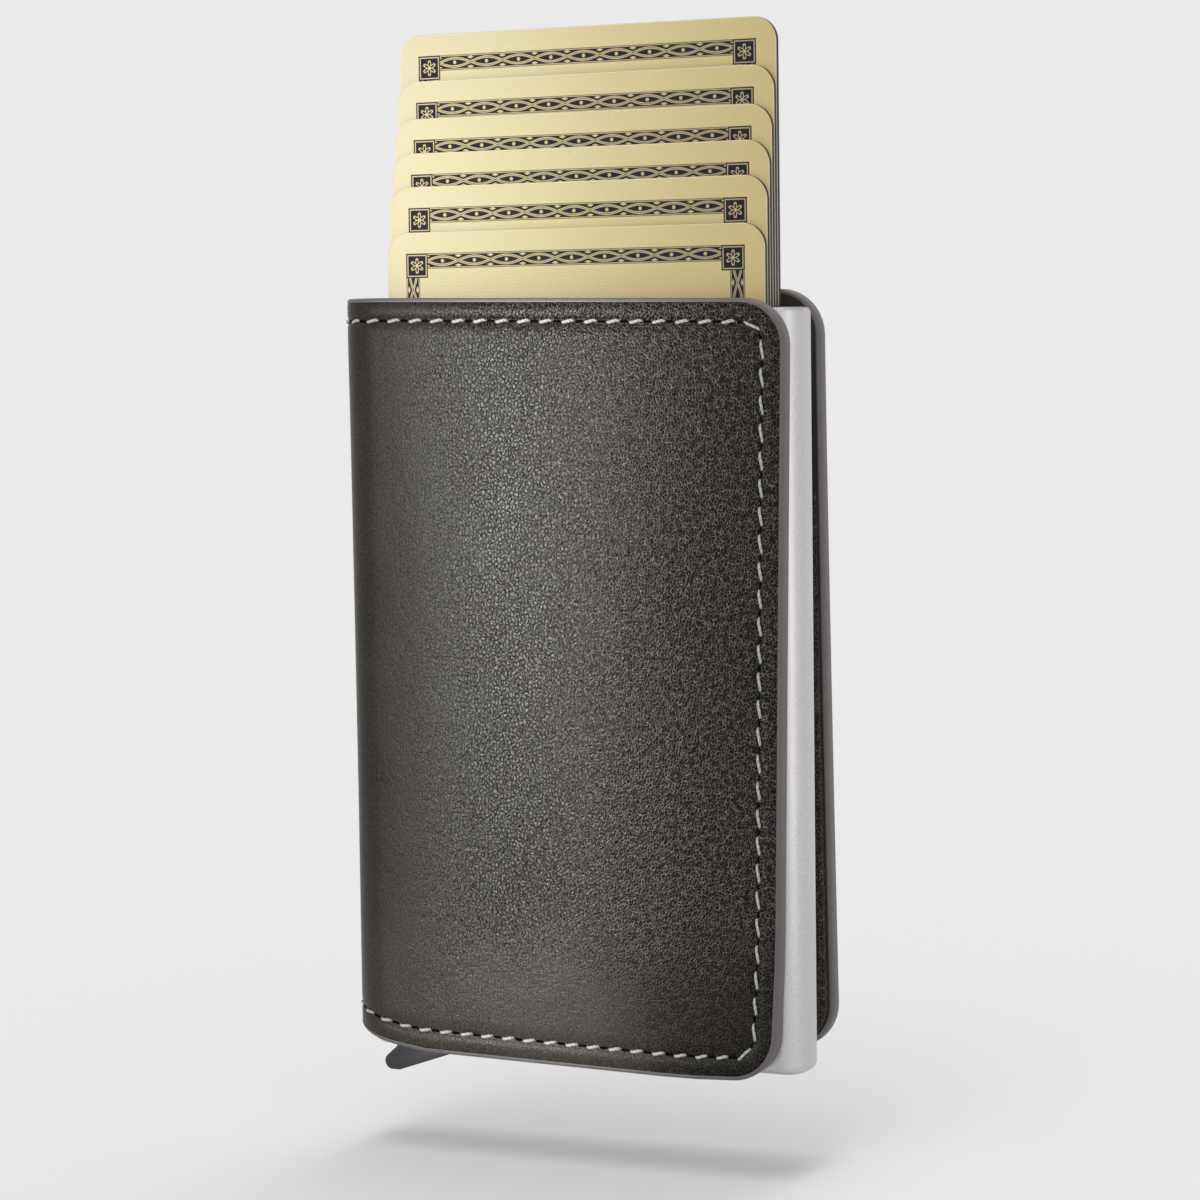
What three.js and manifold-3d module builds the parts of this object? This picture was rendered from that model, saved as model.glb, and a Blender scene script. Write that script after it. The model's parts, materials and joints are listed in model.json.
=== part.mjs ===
// A slim card wallet: an aluminium card case in a leather cover, with a lever at the foot
// that lifts six cards out of the mouth like a fan.
//
// Millimetres, +Z up. The origin is the middle of the front cover's outer face. +X points to
// the open edge of the cover and +Y from the front face to the rear one. The cards stand
// lifted, as the lever's pressed tab leaves them.

import * as THREE from 'three';
import { mergeVertices } from 'three/addons/utils/BufferGeometryUtils.js';
import Module from 'manifold-3d';

const wasm = await Module();
wasm.setup();

// Cards
const cardWidth = 53.98;
const cardHeight = 85.6;
const cardThickness = 0.76;
const cardCorner = 3.18;
const cardGap = 0.128;
const firstCardShows = 10.1;
const lastCardShows = 36.3;
const fanShares = [0, 0.23, 0.4, 0.575, 0.765, 1];
const loweredCardBelowMouth = 0.3;

// Card case: walls, and the room that its well leaves round the cards
const caseWall = 0.9;
const caseFloor = 0.7;
const caseRound = 3.2;
const caseFootRound = 1.3;
const mouthChamfer = 0.4;
const roomBesideCards = 3.61;
const roomBehindCards = 0.45;
const roomUnderCards = 11.9;

// Friction strips inside the mouth
const stripInset = 5;
const stripHeight = 9;
const stripRound = 3;
const stripThickness = 0.3;
const stripBelowMouth = 5;

// Ejector lever: pivot, hub, blades and tab. Tab sizes are taken from the pivot.
const pivotFromSide = 4;
const pivotAboveFoot = 3.6;
const pinRadius = 0.8;
const pinClearance = 0.08;
const hubRadius = 1.7;
const leverSwing = THREE.MathUtils.degToRad(50);
const leverPastCards = 1.71;
const leverClearance = 0.4;
const bladeTipHeight = 0.8;
const cardSeatGap = 0.3;
const tabNeckOut = 1.1;
const tabNeckDrop = 4.5;
const tabTipOut = 3.1;
const tabTipDrop = 7.8;
const tabTipRound = 1.1;
const tabHeelOut = 8.4;
const tabHeelDrop = 3.7;
const tabRampOut = 7.3;
const tabRampDrop = 4.95;
const tabWebOut = 6;
const tabWebRise = 4.1;
const slotClearance = 0.55;

// Layers of the cover, from the leather inwards
const leatherThickness = 1.2;
const boardThickness = 0.55;
const boardInset = 1.6;
const liningThickness = 0.5;
const spineLiningThickness = 0.4;
const pocketThickness = 0.45;
const layerGap = 0.05;

// Tape between the front cover and the case
const tapeThickness = 0.1;
const tapeSideInset = 6.5;
const tapeEndInset = 9.25;
const tapeCorner = 1;

// Cover: how far it stands past the case or back from it, and its bends and folds
const spineRoom = 0.35;
const flapRoom = 1.1;
const frontSetback = 1.3;
const rearSetback = 0.3;
const mouthBelowCover = 1.1;
const footAboveCover = 0.4;
const coverCorner = 5.4;
const spineRound = 6;
const foldGap = 0.3;
const foldShare = 0.5;

// Relief in the spine's lower end, where the lever's tab swings
const reliefHeight = 3.2;
const reliefLength = 16.5;
const reliefRunShare = 0.36;
const reliefDropShare = 0.88;

// Pockets on the inside of the rear flap, heights from the cover's lower edge
const lowerPocketHeight = 52;
const upperPocketHeight = 74;
const pocketInset = 0.8;

// Thread and the groove it lies in
const stitchInset = 3;
const threadWidth = 0.6;
const threadHeight = 0.35;
const threadSunk = 0.05;
const grooveClearance = 0.1;

// Overrun of the cutting shapes, and smoothness of the round stretches
const overrun = 1;
const cornerSteps = 6;
const foldSteps = 6;
const camSteps = 10;
const roundSteps = 24;

// Sizes that follow
const cardCount = fanShares.length;
const cardPitch = cardThickness + cardGap;
const deckDepth = cardCount * cardPitch - cardGap;
const caseWidth = cardWidth + 2 * (roomBesideCards + caseWall);
const caseDepth = deckDepth + 2 * (roomBehindCards + caseWall);
const caseHeight = loweredCardBelowMouth + cardHeight + roomUnderCards + caseFloor;
const coverHeight = caseHeight + mouthBelowCover + footAboveCover;
const spineReach = caseWidth / 2 + spineRoom + spineLiningThickness + layerGap + leatherThickness;
const frontReach = caseWidth / 2 - frontSetback;
const rearReach = caseWidth / 2 - rearSetback;
const foldAngle = foldShare * Math.PI / 2;
const foldGapAngle = foldGap / 2 / spineRound;

// Places that follow, from the front cover's outer face to the rear one's
const frontBoardY = leatherThickness + layerGap;
const frontLiningY = frontBoardY + boardThickness + layerGap;
const tapeY = frontLiningY + liningThickness + layerGap;
const caseFrontY = tapeY + tapeThickness + layerGap;
const wellFrontY = caseFrontY + caseWall;
const firstCardY = wellFrontY + roomBehindCards;
const wellRearY = firstCardY + deckDepth + roomBehindCards;
const caseRearY = wellRearY + caseWall;
const lowerPocketY = caseRearY + flapRoom;
const upperPocketY = lowerPocketY + pocketThickness + layerGap;
const rearLiningY = upperPocketY + pocketThickness + layerGap;
const rearBoardY = rearLiningY + liningThickness + layerGap;
const coverDepth = rearBoardY + boardThickness + layerGap + leatherThickness;
const bladeFrontY = firstCardY - cardGap / 2;
const bladeRearY = bladeFrontY + cardCount * cardPitch;

// Places that follow, across and up
const coverTop = coverHeight / 2;
const coverFoot = -coverHeight / 2;
const spineFoot = coverFoot + reliefHeight;
const bendX = -spineReach + spineRound;
const frontBendY = spineRound;
const rearBendY = coverDepth - spineRound;
const caseTop = coverTop - mouthBelowCover;
const caseFoot = caseTop - caseHeight;
const wellFloor = caseFoot + caseFloor;
const pivotX = -caseWidth / 2 + pivotFromSide;
const pivotZ = caseFoot + pivotAboveFoot;
const leverReach = cardWidth / 2 + leverPastCards - pivotX;
const loweredCardZ = caseTop - loweredCardBelowMouth - cardHeight;

// Turning a three.js geometry into a solid that can be cut, and back

function toSolid(geometry) {
  const bare = geometry.clone();
  bare.deleteAttribute('normal');
  bare.deleteAttribute('uv');
  const merged = mergeVertices(bare);
  return new wasm.Manifold(new wasm.Mesh({
    numProp: 3,
    vertProperties: new Float32Array(merged.attributes.position.array),
    triVerts: new Uint32Array(merged.index.array),
  }));
}

function toGeometry(solid) {
  const mesh = solid.getMesh();
  const geometry = new THREE.BufferGeometry();
  geometry.setAttribute('position', new THREE.BufferAttribute(mesh.vertProperties, 3));
  geometry.setIndex(new THREE.BufferAttribute(mesh.triVerts, 1));
  geometry.computeVertexNormals();
  return geometry;
}

// Prisms: an outline drawn in X and Z raised along Y, or drawn in X and Y raised along Z

function prismAlongY(shape, fromY, toY) {
  const options = { depth: toY - fromY, bevelEnabled: false, curveSegments: cornerSteps };
  const geometry = new THREE.ExtrudeGeometry(shape, options);
  geometry.rotateX(Math.PI / 2);
  geometry.translate(0, toY, 0);
  return geometry;
}

function prismAlongZ(shape, fromZ, toZ) {
  const options = { depth: toZ - fromZ, bevelEnabled: false, curveSegments: cornerSteps };
  const geometry = new THREE.ExtrudeGeometry(shape, options);
  geometry.translate(0, 0, fromZ);
  return geometry;
}

// A prism along Z whose end edges are rounded in the given number of steps
function edgedPrism(shape, fromZ, toZ, edge, steps) {
  const geometry = new THREE.ExtrudeGeometry(shape, {
    depth: toZ - fromZ - 2 * edge,
    bevelThickness: edge,
    bevelSize: edge,
    bevelOffset: -edge,
    bevelSegments: steps,
    curveSegments: cornerSteps,
  });
  geometry.translate(0, 0, fromZ + edge);
  return geometry;
}

// A round bar along Y through a point of the X and Z plane
function barAlongY(radius, x, z, fromY, toY) {
  const geometry = new THREE.CylinderGeometry(radius, radius, toY - fromY, roundSteps);
  geometry.translate(x, (fromY + toY) / 2, z);
  return geometry;
}

function roundedRectangle(left, right, low, high, radius) {
  const shape = new THREE.Shape();
  shape.moveTo(left + radius, low);
  shape.lineTo(right - radius, low);
  shape.absarc(right - radius, low + radius, radius, -Math.PI / 2, 0);
  shape.lineTo(right, high - radius);
  shape.absarc(right - radius, high - radius, radius, 0, Math.PI / 2);
  shape.lineTo(left + radius, high);
  shape.absarc(left + radius, high - radius, radius, Math.PI / 2, Math.PI);
  shape.lineTo(left, low + radius);
  shape.absarc(left + radius, low + radius, radius, Math.PI, 1.5 * Math.PI);
  return shape;
}

// Outline of a cover panel in X and Z, inset from its edges: rounded at the open side, with
// the lower edge rising into the spine's relief at the left
function panelOutline(reach, left, inset) {
  const corner = coverCorner - inset;
  const right = reach - inset;
  const low = coverFoot + inset;
  const high = coverTop - inset;
  const reliefX = -spineReach + reliefLength;
  const shape = new THREE.Shape();
  shape.moveTo(left, spineFoot + inset);
  shape.lineTo(-spineReach, spineFoot + inset);
  shape.quadraticCurveTo(
    -spineReach + reliefRunShare * reliefLength,
    spineFoot + inset - reliefDropShare * reliefHeight,
    reliefX,
    low,
  );
  shape.lineTo(right - corner, low);
  shape.absarc(right - corner, low + corner, corner, -Math.PI / 2, 0);
  shape.lineTo(right, high - corner);
  shape.absarc(right - corner, high - corner, corner, 0, Math.PI / 2);
  shape.lineTo(left, high);
  return shape;
}

// Points of an arc about a bend of the cover
function bendPoints(bendY, radius, fromAngle, toAngle) {
  const points = [];
  for (let step = 0; step <= foldSteps; step += 1) {
    const angle = fromAngle + (toAngle - fromAngle) * step / foldSteps;
    const x = bendX - radius * Math.sin(angle);
    const y = bendY - radius * Math.cos(angle);
    points.push(new THREE.Vector2(x, y));
  }
  return points;
}

// Cross-section of the front leather: flat from the open edge to the bend, then round it as
// far as the fold
function frontSection(reach) {
  const end = foldAngle - foldGapAngle;
  const outer = bendPoints(frontBendY, spineRound, 0, end);
  const inner = bendPoints(frontBendY, spineRound - leatherThickness, end, 0);
  const edge = [new THREE.Vector2(reach, leatherThickness), new THREE.Vector2(reach, 0)];
  return new THREE.Shape([...outer, ...inner, ...edge]);
}

// The same section seen from the rear flap
function rearSection(reach) {
  const points = frontSection(reach).getPoints();
  return new THREE.Shape(points.map((point) => new THREE.Vector2(point.x, coverDepth - point.y)));
}

// Cross-section of a layer of the spine from fold to fold
function spineSection(outerRadius, thickness) {
  const start = foldAngle + foldGapAngle;
  const side = Math.PI / 2;
  const innerRadius = outerRadius - thickness;
  return new THREE.Shape([
    ...bendPoints(frontBendY, outerRadius, start, side),
    ...bendPoints(rearBendY, outerRadius, side, Math.PI - start),
    ...bendPoints(rearBendY, innerRadius, Math.PI - start, side),
    ...bendPoints(frontBendY, innerRadius, side, start),
  ]);
}

// A band of the given width that runs along a panel's edge: top, open side and foot
function stitchBand(reach, width) {
  const outerInset = stitchInset - width / 2;
  const innerInset = stitchInset + width / 2;
  const start = bendX + spineRound;
  const shape = new THREE.Shape();
  drawHoop(shape, reach, start, outerInset, 1);
  drawHoop(shape, reach, start, innerInset, -1);
  return shape;
}

function drawHoop(shape, reach, start, inset, sense) {
  const corner = coverCorner - inset;
  const x = reach - inset - corner;
  const high = coverTop - inset;
  const low = coverFoot + inset + reliefHeight * (1 - reliefDropShare);
  if (sense > 0) {
    shape.moveTo(start, low);
    shape.lineTo(x, low);
    shape.absarc(x, low + corner, corner, -Math.PI / 2, 0);
    shape.lineTo(x + corner, high - corner);
    shape.absarc(x, high - corner, corner, 0, Math.PI / 2);
    shape.lineTo(start, high);
  } else {
    shape.lineTo(start, high);
    shape.lineTo(x, high);
    shape.absarc(x, high - corner, corner, Math.PI / 2, 0, true);
    shape.lineTo(x + corner, low + corner);
    shape.absarc(x, low + corner, corner, 0, -Math.PI / 2, true);
    shape.lineTo(start, low);
  }
}

// Leather cover panels

function frontLeather() {
  const sheet = toSolid(prismAlongZ(frontSection(frontReach), coverFoot, coverTop));
  const left = -spineReach - overrun;
  const outline = panelOutline(frontReach, left, 0);
  const cutter = toSolid(prismAlongY(outline, -overrun, coverDepth));
  const grooveDepth = threadSunk + threadHeight + layerGap;
  const band = stitchBand(frontReach, threadWidth + 2 * grooveClearance);
  const groove = toSolid(prismAlongY(band, -overrun, grooveDepth));
  return toGeometry(sheet.intersect(cutter).subtract(groove));
}

function rearLeather() {
  const sheet = toSolid(prismAlongZ(rearSection(rearReach), coverFoot, coverTop));
  const left = -spineReach - overrun;
  const outline = panelOutline(rearReach, left, 0);
  const cutter = toSolid(prismAlongY(outline, 0, coverDepth + overrun));
  const grooveDepth = threadSunk + threadHeight + layerGap;
  const band = stitchBand(rearReach, threadWidth + 2 * grooveClearance);
  const groove = toSolid(prismAlongY(band, coverDepth - grooveDepth, coverDepth + overrun));
  return toGeometry(sheet.intersect(cutter).subtract(groove));
}

function spineLeather() {
  return prismAlongZ(spineSection(spineRound, leatherThickness), spineFoot, coverTop);
}

function spineLining() {
  const radius = spineRound - leatherThickness - layerGap;
  return prismAlongZ(spineSection(radius, spineLiningThickness), spineFoot, coverTop);
}

// A flat layer of a cover panel, from the bend to the open edge
function panelLayer(reach, inset, fromY, thickness) {
  const shape = panelOutline(reach, -spineReach - overrun, inset);
  const whole = toSolid(prismAlongY(shape, fromY, fromY + thickness));
  const left = bendX + inset;
  const half = roundedRectangle(left, reach + coverCorner, 2 * coverFoot, 2 * coverTop, overrun);
  const keep = toSolid(prismAlongY(half, fromY - overrun, fromY + thickness + overrun));
  return toGeometry(whole.intersect(keep));
}

// A pocket is a layer of the rear flap cut off at the height of its mouth
function pocket(height, fromY) {
  const whole = toSolid(panelLayer(rearReach, pocketInset, fromY, pocketThickness));
  const shape = roundedRectangle(
    -spineReach,
    rearReach + coverCorner,
    2 * coverFoot,
    coverFoot + height,
    overrun,
  );
  const keep = toSolid(prismAlongY(shape, fromY - overrun, fromY + pocketThickness + overrun));
  return toGeometry(whole.intersect(keep));
}

function thread(reach, fromY) {
  return prismAlongY(stitchBand(reach, threadWidth), fromY, fromY + threadHeight);
}

function tape() {
  const half = caseWidth / 2 - tapeSideInset;
  const low = caseFoot + tapeEndInset;
  const shape = roundedRectangle(-half, half, low, caseTop - tapeEndInset, tapeCorner);
  return prismAlongY(shape, tapeY, tapeY + tapeThickness);
}

// Card case: a flat can with an open mouth, cut at its lower left corner for the lever

function wellOutline() {
  const half = caseWidth / 2 - caseWall;
  return roundedRectangle(-half, half, wellFrontY, wellRearY, caseRound - caseWall);
}

function leverSlot() {
  const right = pivotX + Math.hypot(tabHeelOut, tabHeelDrop) + slotClearance;
  const left = -caseWidth / 2 - overrun;
  const low = caseFoot - overrun;
  const sideTop = pivotZ + hubRadius / 2;
  const shape = new THREE.Shape();
  shape.moveTo(left, low);
  shape.lineTo(right, low);
  shape.lineTo(right, wellFloor + slotClearance);
  shape.lineTo(pivotX, sideTop);
  shape.lineTo(left, sideTop);
  return toSolid(prismAlongY(shape, wellFrontY, wellRearY));
}

function cardCase() {
  const half = caseWidth / 2;
  const outline = roundedRectangle(-half, half, caseFrontY, caseRearY, caseRound);
  const high = caseTop + 2 * caseFootRound;
  const low = caseFoot - 2 * mouthChamfer;
  const footRounded = toSolid(edgedPrism(outline, caseFoot, high, caseFootRound, cornerSteps / 2));
  const mouthBevelled = toSolid(edgedPrism(outline, low, caseTop, mouthChamfer, 1));
  const well = toSolid(prismAlongZ(wellOutline(), wellFloor, caseTop + overrun));
  const bar = barAlongY(
    pinRadius + pinClearance,
    pivotX,
    pivotZ,
    caseFrontY - overrun,
    caseRearY + overrun,
  );
  const solid = footRounded.intersect(mouthBevelled)
    .subtract(well)
    .subtract(leverSlot())
    .subtract(toSolid(bar));
  return toGeometry(solid);
}

function frictionStrip(fromY) {
  const half = cardWidth / 2 - stripInset;
  const high = caseTop - stripBelowMouth;
  const shape = roundedRectangle(-half, half, high - stripHeight, high, stripRound);
  return prismAlongY(shape, fromY, fromY + stripThickness);
}

function pivotPin() {
  return barAlongY(pinRadius, pivotX, pivotZ, caseFrontY + layerGap, caseRearY - layerGap);
}

// Cards, counted from the front

function cardShows(index) {
  return firstCardShows + (lastCardShows - firstCardShows) * fanShares[index];
}

function cardFoot(index) {
  return caseTop + cardShows(index) - cardHeight;
}

function card(index) {
  const y = firstCardY + index * cardPitch;
  const low = cardFoot(index);
  const half = cardWidth / 2;
  const shape = roundedRectangle(-half, half, low, low + cardHeight, cardCorner);
  return prismAlongY(shape, y, y + cardThickness);
}

// Ejector lever. Each blade's upper edge is the involute that lifts its card by the same
// amount for each degree, as far out as the lever reaches or until the blade gets thin. Its
// points are worked out with the lever lowered, about the pivot, and then turned up by the
// whole swing.

function turned(x, z, angle) {
  const turnedX = x * Math.cos(angle) - z * Math.sin(angle);
  const turnedZ = x * Math.sin(angle) + z * Math.cos(angle);
  return new THREE.Vector2(turnedX, turnedZ);
}

function placed(point) {
  return new THREE.Vector2(pivotX + point.x, pivotZ + point.y);
}

function blade(index) {
  const lift = cardFoot(index) - loweredCardZ;
  const arm = lift / leverSwing;
  const seat = loweredCardZ - cardSeatGap - pivotZ;
  const underside = wellFloor + leverClearance - pivotZ;
  const reachEnd = (Math.sqrt(leverReach ** 2 - arm ** 2) - seat) / arm;
  const end = Math.min(leverSwing, reachEnd);
  const points = [turned(0, hubRadius, leverSwing)];
  let tip = new THREE.Vector2(arm, seat);
  for (let step = 0; step <= camSteps; step += 1) {
    const turn = end * step / camSteps;
    const lowered = turned(arm, seat + arm * turn, -turn);
    if (lowered.y < underside + bladeTipHeight) {
      break;
    }
    points.push(turned(lowered.x, lowered.y, leverSwing));
    tip = lowered;
  }
  points.push(turned(tip.x, underside, leverSwing));
  points.push(turned(0, -hubRadius, leverSwing));
  const y = bladeFrontY + index * cardPitch;
  const shape = new THREE.Shape(points.map(placed));
  return toSolid(prismAlongY(shape, y, y + cardPitch));
}

function leverTab() {
  const tipX = pivotX - tabTipOut + tabTipRound;
  const tipZ = pivotZ - tabTipDrop + tabTipRound;
  const shape = new THREE.Shape();
  shape.moveTo(pivotX, pivotZ + hubRadius / 2);
  shape.lineTo(pivotX - hubRadius, pivotZ);
  shape.lineTo(pivotX - tabNeckOut, pivotZ - tabNeckDrop);
  shape.lineTo(tipX - tabTipRound * Math.SQRT1_2, tipZ + tabTipRound * Math.SQRT1_2);
  shape.absarc(tipX, tipZ, tabTipRound, 0.75 * Math.PI, 1.5 * Math.PI);
  shape.lineTo(tipX + tabTipRound, tipZ - tabTipRound);
  shape.lineTo(pivotX + tabRampOut, pivotZ - tabRampDrop);
  shape.lineTo(pivotX + tabHeelOut, pivotZ - tabHeelDrop);
  shape.lineTo(pivotX + tabWebOut, pivotZ + tabWebRise);
  return toSolid(prismAlongY(shape, bladeFrontY, bladeRearY));
}

function ejectorLever() {
  const hub = barAlongY(hubRadius, pivotX, pivotZ, bladeFrontY, bladeRearY);
  let solid = leverTab().add(toSolid(hub));
  for (let index = 0; index < cardCount; index += 1) {
    solid = solid.add(blade(index));
  }
  const bore = barAlongY(
    pinRadius + pinClearance,
    pivotX,
    pivotZ,
    bladeFrontY - overrun,
    bladeRearY + overrun,
  );
  return toGeometry(solid.subtract(toSolid(bore)));
}

// Materials

function leatherMaterial() {
  return new THREE.MeshStandardMaterial({ color: 0x45403a, roughness: 0.62, metalness: 0 });
}

function liningMaterial() {
  return new THREE.MeshStandardMaterial({ color: 0x1a1916, roughness: 0.85, metalness: 0 });
}

function boardMaterial() {
  return new THREE.MeshStandardMaterial({ color: 0x8a8276, roughness: 0.9, metalness: 0 });
}

function threadMaterial() {
  return new THREE.MeshStandardMaterial({ color: 0xc8c8c4, roughness: 0.8, metalness: 0 });
}

function aluminiumMaterial() {
  return new THREE.MeshStandardMaterial({ color: 0xd4d3d5, roughness: 0.38, metalness: 1 });
}

function steelMaterial() {
  return new THREE.MeshStandardMaterial({ color: 0xa8a8aa, roughness: 0.3, metalness: 1 });
}

function leverMaterial() {
  return new THREE.MeshStandardMaterial({ color: 0x28262c, roughness: 0.55, metalness: 0 });
}

function feltMaterial() {
  return new THREE.MeshStandardMaterial({ color: 0x2b2b2e, roughness: 1, metalness: 0 });
}

function tapeMaterial() {
  return new THREE.MeshStandardMaterial({ color: 0xe8e6dc, roughness: 0.7, metalness: 0 });
}

function cardMaterial() {
  return new THREE.MeshStandardMaterial({ color: 0xd2bd7c, roughness: 0.35, metalness: 0.8 });
}

// Assembly

const wallet = new THREE.Group();

function addPiece(name, geometry, material) {
  const mesh = new THREE.Mesh(geometry, material);
  mesh.name = name;
  wallet.add(mesh);
}

addPiece('front_cover_leather', frontLeather(), leatherMaterial());
addPiece(
  'front_cover_board',
  panelLayer(frontReach, boardInset, frontBoardY, boardThickness),
  boardMaterial(),
);
addPiece(
  'front_cover_lining',
  panelLayer(frontReach, 0, frontLiningY, liningThickness),
  liningMaterial(),
);
addPiece('front_cover_thread', thread(frontReach, threadSunk), threadMaterial());
addPiece('spine_leather', spineLeather(), leatherMaterial());
addPiece('spine_lining', spineLining(), liningMaterial());
addPiece('rear_cover_leather', rearLeather(), leatherMaterial());
addPiece(
  'rear_cover_board',
  panelLayer(rearReach, boardInset, rearBoardY, boardThickness),
  boardMaterial(),
);
addPiece(
  'rear_cover_lining',
  panelLayer(rearReach, 0, rearLiningY, liningThickness),
  liningMaterial(),
);
addPiece(
  'rear_cover_thread',
  thread(rearReach, coverDepth - threadSunk - threadHeight),
  threadMaterial(),
);
addPiece('upper_pocket', pocket(upperPocketHeight, upperPocketY), leatherMaterial());
addPiece('lower_pocket', pocket(lowerPocketHeight, lowerPocketY), leatherMaterial());
addPiece('mounting_tape', tape(), tapeMaterial());
addPiece('card_case', cardCase(), aluminiumMaterial());
addPiece('front_friction_strip', frictionStrip(wellFrontY), feltMaterial());
addPiece('rear_friction_strip', frictionStrip(wellRearY - stripThickness), feltMaterial());
addPiece('lever_pivot_pin', pivotPin(), steelMaterial());
addPiece('ejector_lever', ejectorLever(), leverMaterial());
for (let index = 0; index < cardCount; index += 1) {
  addPiece(`card_${index + 1}`, card(index), cardMaterial());
}

export default wallet;
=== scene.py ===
import json
import math

import bmesh
import bpy
import numpy as np
from mathutils import Matrix, Vector

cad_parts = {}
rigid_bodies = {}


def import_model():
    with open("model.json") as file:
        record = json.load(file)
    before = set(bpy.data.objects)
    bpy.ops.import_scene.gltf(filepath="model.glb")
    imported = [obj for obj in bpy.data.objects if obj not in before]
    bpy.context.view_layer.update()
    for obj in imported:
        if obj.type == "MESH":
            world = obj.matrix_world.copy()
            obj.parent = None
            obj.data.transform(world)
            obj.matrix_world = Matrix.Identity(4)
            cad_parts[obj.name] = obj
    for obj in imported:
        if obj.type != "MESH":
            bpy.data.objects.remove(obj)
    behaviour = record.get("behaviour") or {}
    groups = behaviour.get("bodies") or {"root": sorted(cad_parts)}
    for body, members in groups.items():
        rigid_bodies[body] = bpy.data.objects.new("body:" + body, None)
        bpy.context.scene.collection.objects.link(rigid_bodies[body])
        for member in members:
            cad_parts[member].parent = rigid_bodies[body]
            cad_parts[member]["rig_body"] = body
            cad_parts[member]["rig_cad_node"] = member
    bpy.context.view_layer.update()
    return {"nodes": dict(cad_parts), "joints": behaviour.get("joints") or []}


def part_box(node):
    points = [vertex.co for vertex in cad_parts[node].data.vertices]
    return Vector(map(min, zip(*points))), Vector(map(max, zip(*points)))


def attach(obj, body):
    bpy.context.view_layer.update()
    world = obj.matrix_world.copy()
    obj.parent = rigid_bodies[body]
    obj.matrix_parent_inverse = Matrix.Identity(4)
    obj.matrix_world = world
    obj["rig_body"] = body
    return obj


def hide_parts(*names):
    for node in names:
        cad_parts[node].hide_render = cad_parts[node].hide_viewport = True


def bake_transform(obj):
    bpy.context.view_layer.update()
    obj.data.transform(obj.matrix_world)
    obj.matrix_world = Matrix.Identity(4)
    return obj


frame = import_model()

bl_info = {
    "name": "Slim card wallet",
    "version": (1, 0, 0),
    "blender": (4, 5, 0),
    "location": "3D View > Sidebar > Wallet",
    "description": "Dresses a pop-up card wallet in leather, thread, aluminium and printed cards",
    "category": "Object",
}

MM = 0.001

# Places taken from the frame
FRONT_LOW, FRONT_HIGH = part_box("front_cover_leather")
REAR_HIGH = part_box("rear_cover_leather")[1]
CASE_LOW, CASE_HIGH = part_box("card_case")
LINING_LOW, LINING_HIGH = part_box("front_cover_lining")
BOARD_LOW, BOARD_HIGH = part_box("front_cover_board")
FRONT_CARD_LOW, FRONT_CARD_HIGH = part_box("card_1")
COVER_DEPTH = REAR_HIGH.y
COVER_TOP = FRONT_HIGH.z
COVER_FOOT = FRONT_LOW.z
SPINE_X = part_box("spine_leather")[0].x
PIVOT = Vector(next(
    joint["pos_m"] for joint in frame["joints"] if joint["name"] == "lever_swing"))
CARD_NODES = sorted(
    name for name in frame["nodes"] if name.startswith("card_") and name != "card_case")


# Sizes and colours that a user would change

def number(name, description, default, **limits):
    return bpy.props.FloatProperty(name=name, description=description, default=default, **limits)


def length(name, description, millimetres):
    return number(name, description, millimetres * MM, unit="LENGTH")


def angle(name, description, degrees):
    return number(name, description, math.radians(degrees), subtype="ANGLE")


class WalletCover(bpy.types.PropertyGroup):
    leather: length("Leather", "Thickness of the leather", 1.2)
    bend: length("Bend", "Outer radius where the cover turns into the spine", 6)
    corner: length("Corner", "Radius of the cover's open corners", 6.0)
    edge: length("Painted edge", "Width of the paint on the cover's edge", 0.55)
    crown: length("Crown", "How far the middle of a panel bulges", 0.9)
    lean: number(
        "Lean", "Sideways lean of the front panel's open edge for each unit of height", 0.0185)
    slope: number("Slope", "Fall of the front panel's upper edge towards its open side", 0.0191)
    lift: length("Lift", "How far the spine has crept up", 0.4)
    spread: length("Spread", "How far the rear flap stands open at its foot", 3.4)
    slump: length("Slump", "How far the lower spine is pressed in towards the case", 0.36)
    curl: length("Curl", "Rise of the front panel's lower open corner", 0.5)
    relief: length("Relief", "Rise of the foot towards the spine, over the lever's tab", 2.8)


class WalletThread(bpy.types.PropertyGroup):
    inset: length("Inset", "From the cover's edge to the stitch line", 3)
    pitch: length("Pitch", "From one needle hole to the next down the open side", 3.48)
    row_pitch: length(
        "Row pitch", "From one needle hole to the next along the top and the foot", 3.2)
    radius: length("Thread radius", "Half the thickness of the thread", 0.19)
    slant: angle("Slant", "Turn of each stitch off the line", 7)
    groove: length("Groove", "Depth of the groove that the thread lies in", 0.2)


class WalletMetalwork(bpy.types.PropertyGroup):
    corner: length("Case corner", "Radius of the case's upright corners", 3.2)
    wall: length("Case wall", "Thickness of the case's walls", 0.9)
    floor: length("Case floor", "Thickness of the case's floor", 0.7)
    rim: length("Rim bevel", "Bevel round the case's mouth", 0.6)
    mouth: length("Mouth", "How far the finished mouth lies under the plain one", 0.6)
    foot: length("Foot round", "Radius round the case's foot", 1.3)
    bore: length("Pin bore", "Radius of the lever pin's hole", 0.88)


class WalletCards(bpy.types.PropertyGroup):
    corner: length("Card corner", "Radius of a card's corners", 3.18)
    edge: length("Card edge", "Bevel along a card's edges", 0.08)
    margin: length("Margin", "From a card's edge to its printed border", 2.8)
    border: length("Border", "Width of the printed border", 2)
    pitch: length("Braid pitch", "From one crossing of the printed braid to the next", 4.7)


def colour(name, description, red, green, blue):
    """A colour property, given as the screen shows it, from 0 to 255."""
    return bpy.props.FloatVectorProperty(
        name=name, description=description, subtype="COLOR_GAMMA", size=3, min=0, max=1,
        default=(red / 255, green / 255, blue / 255))


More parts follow.
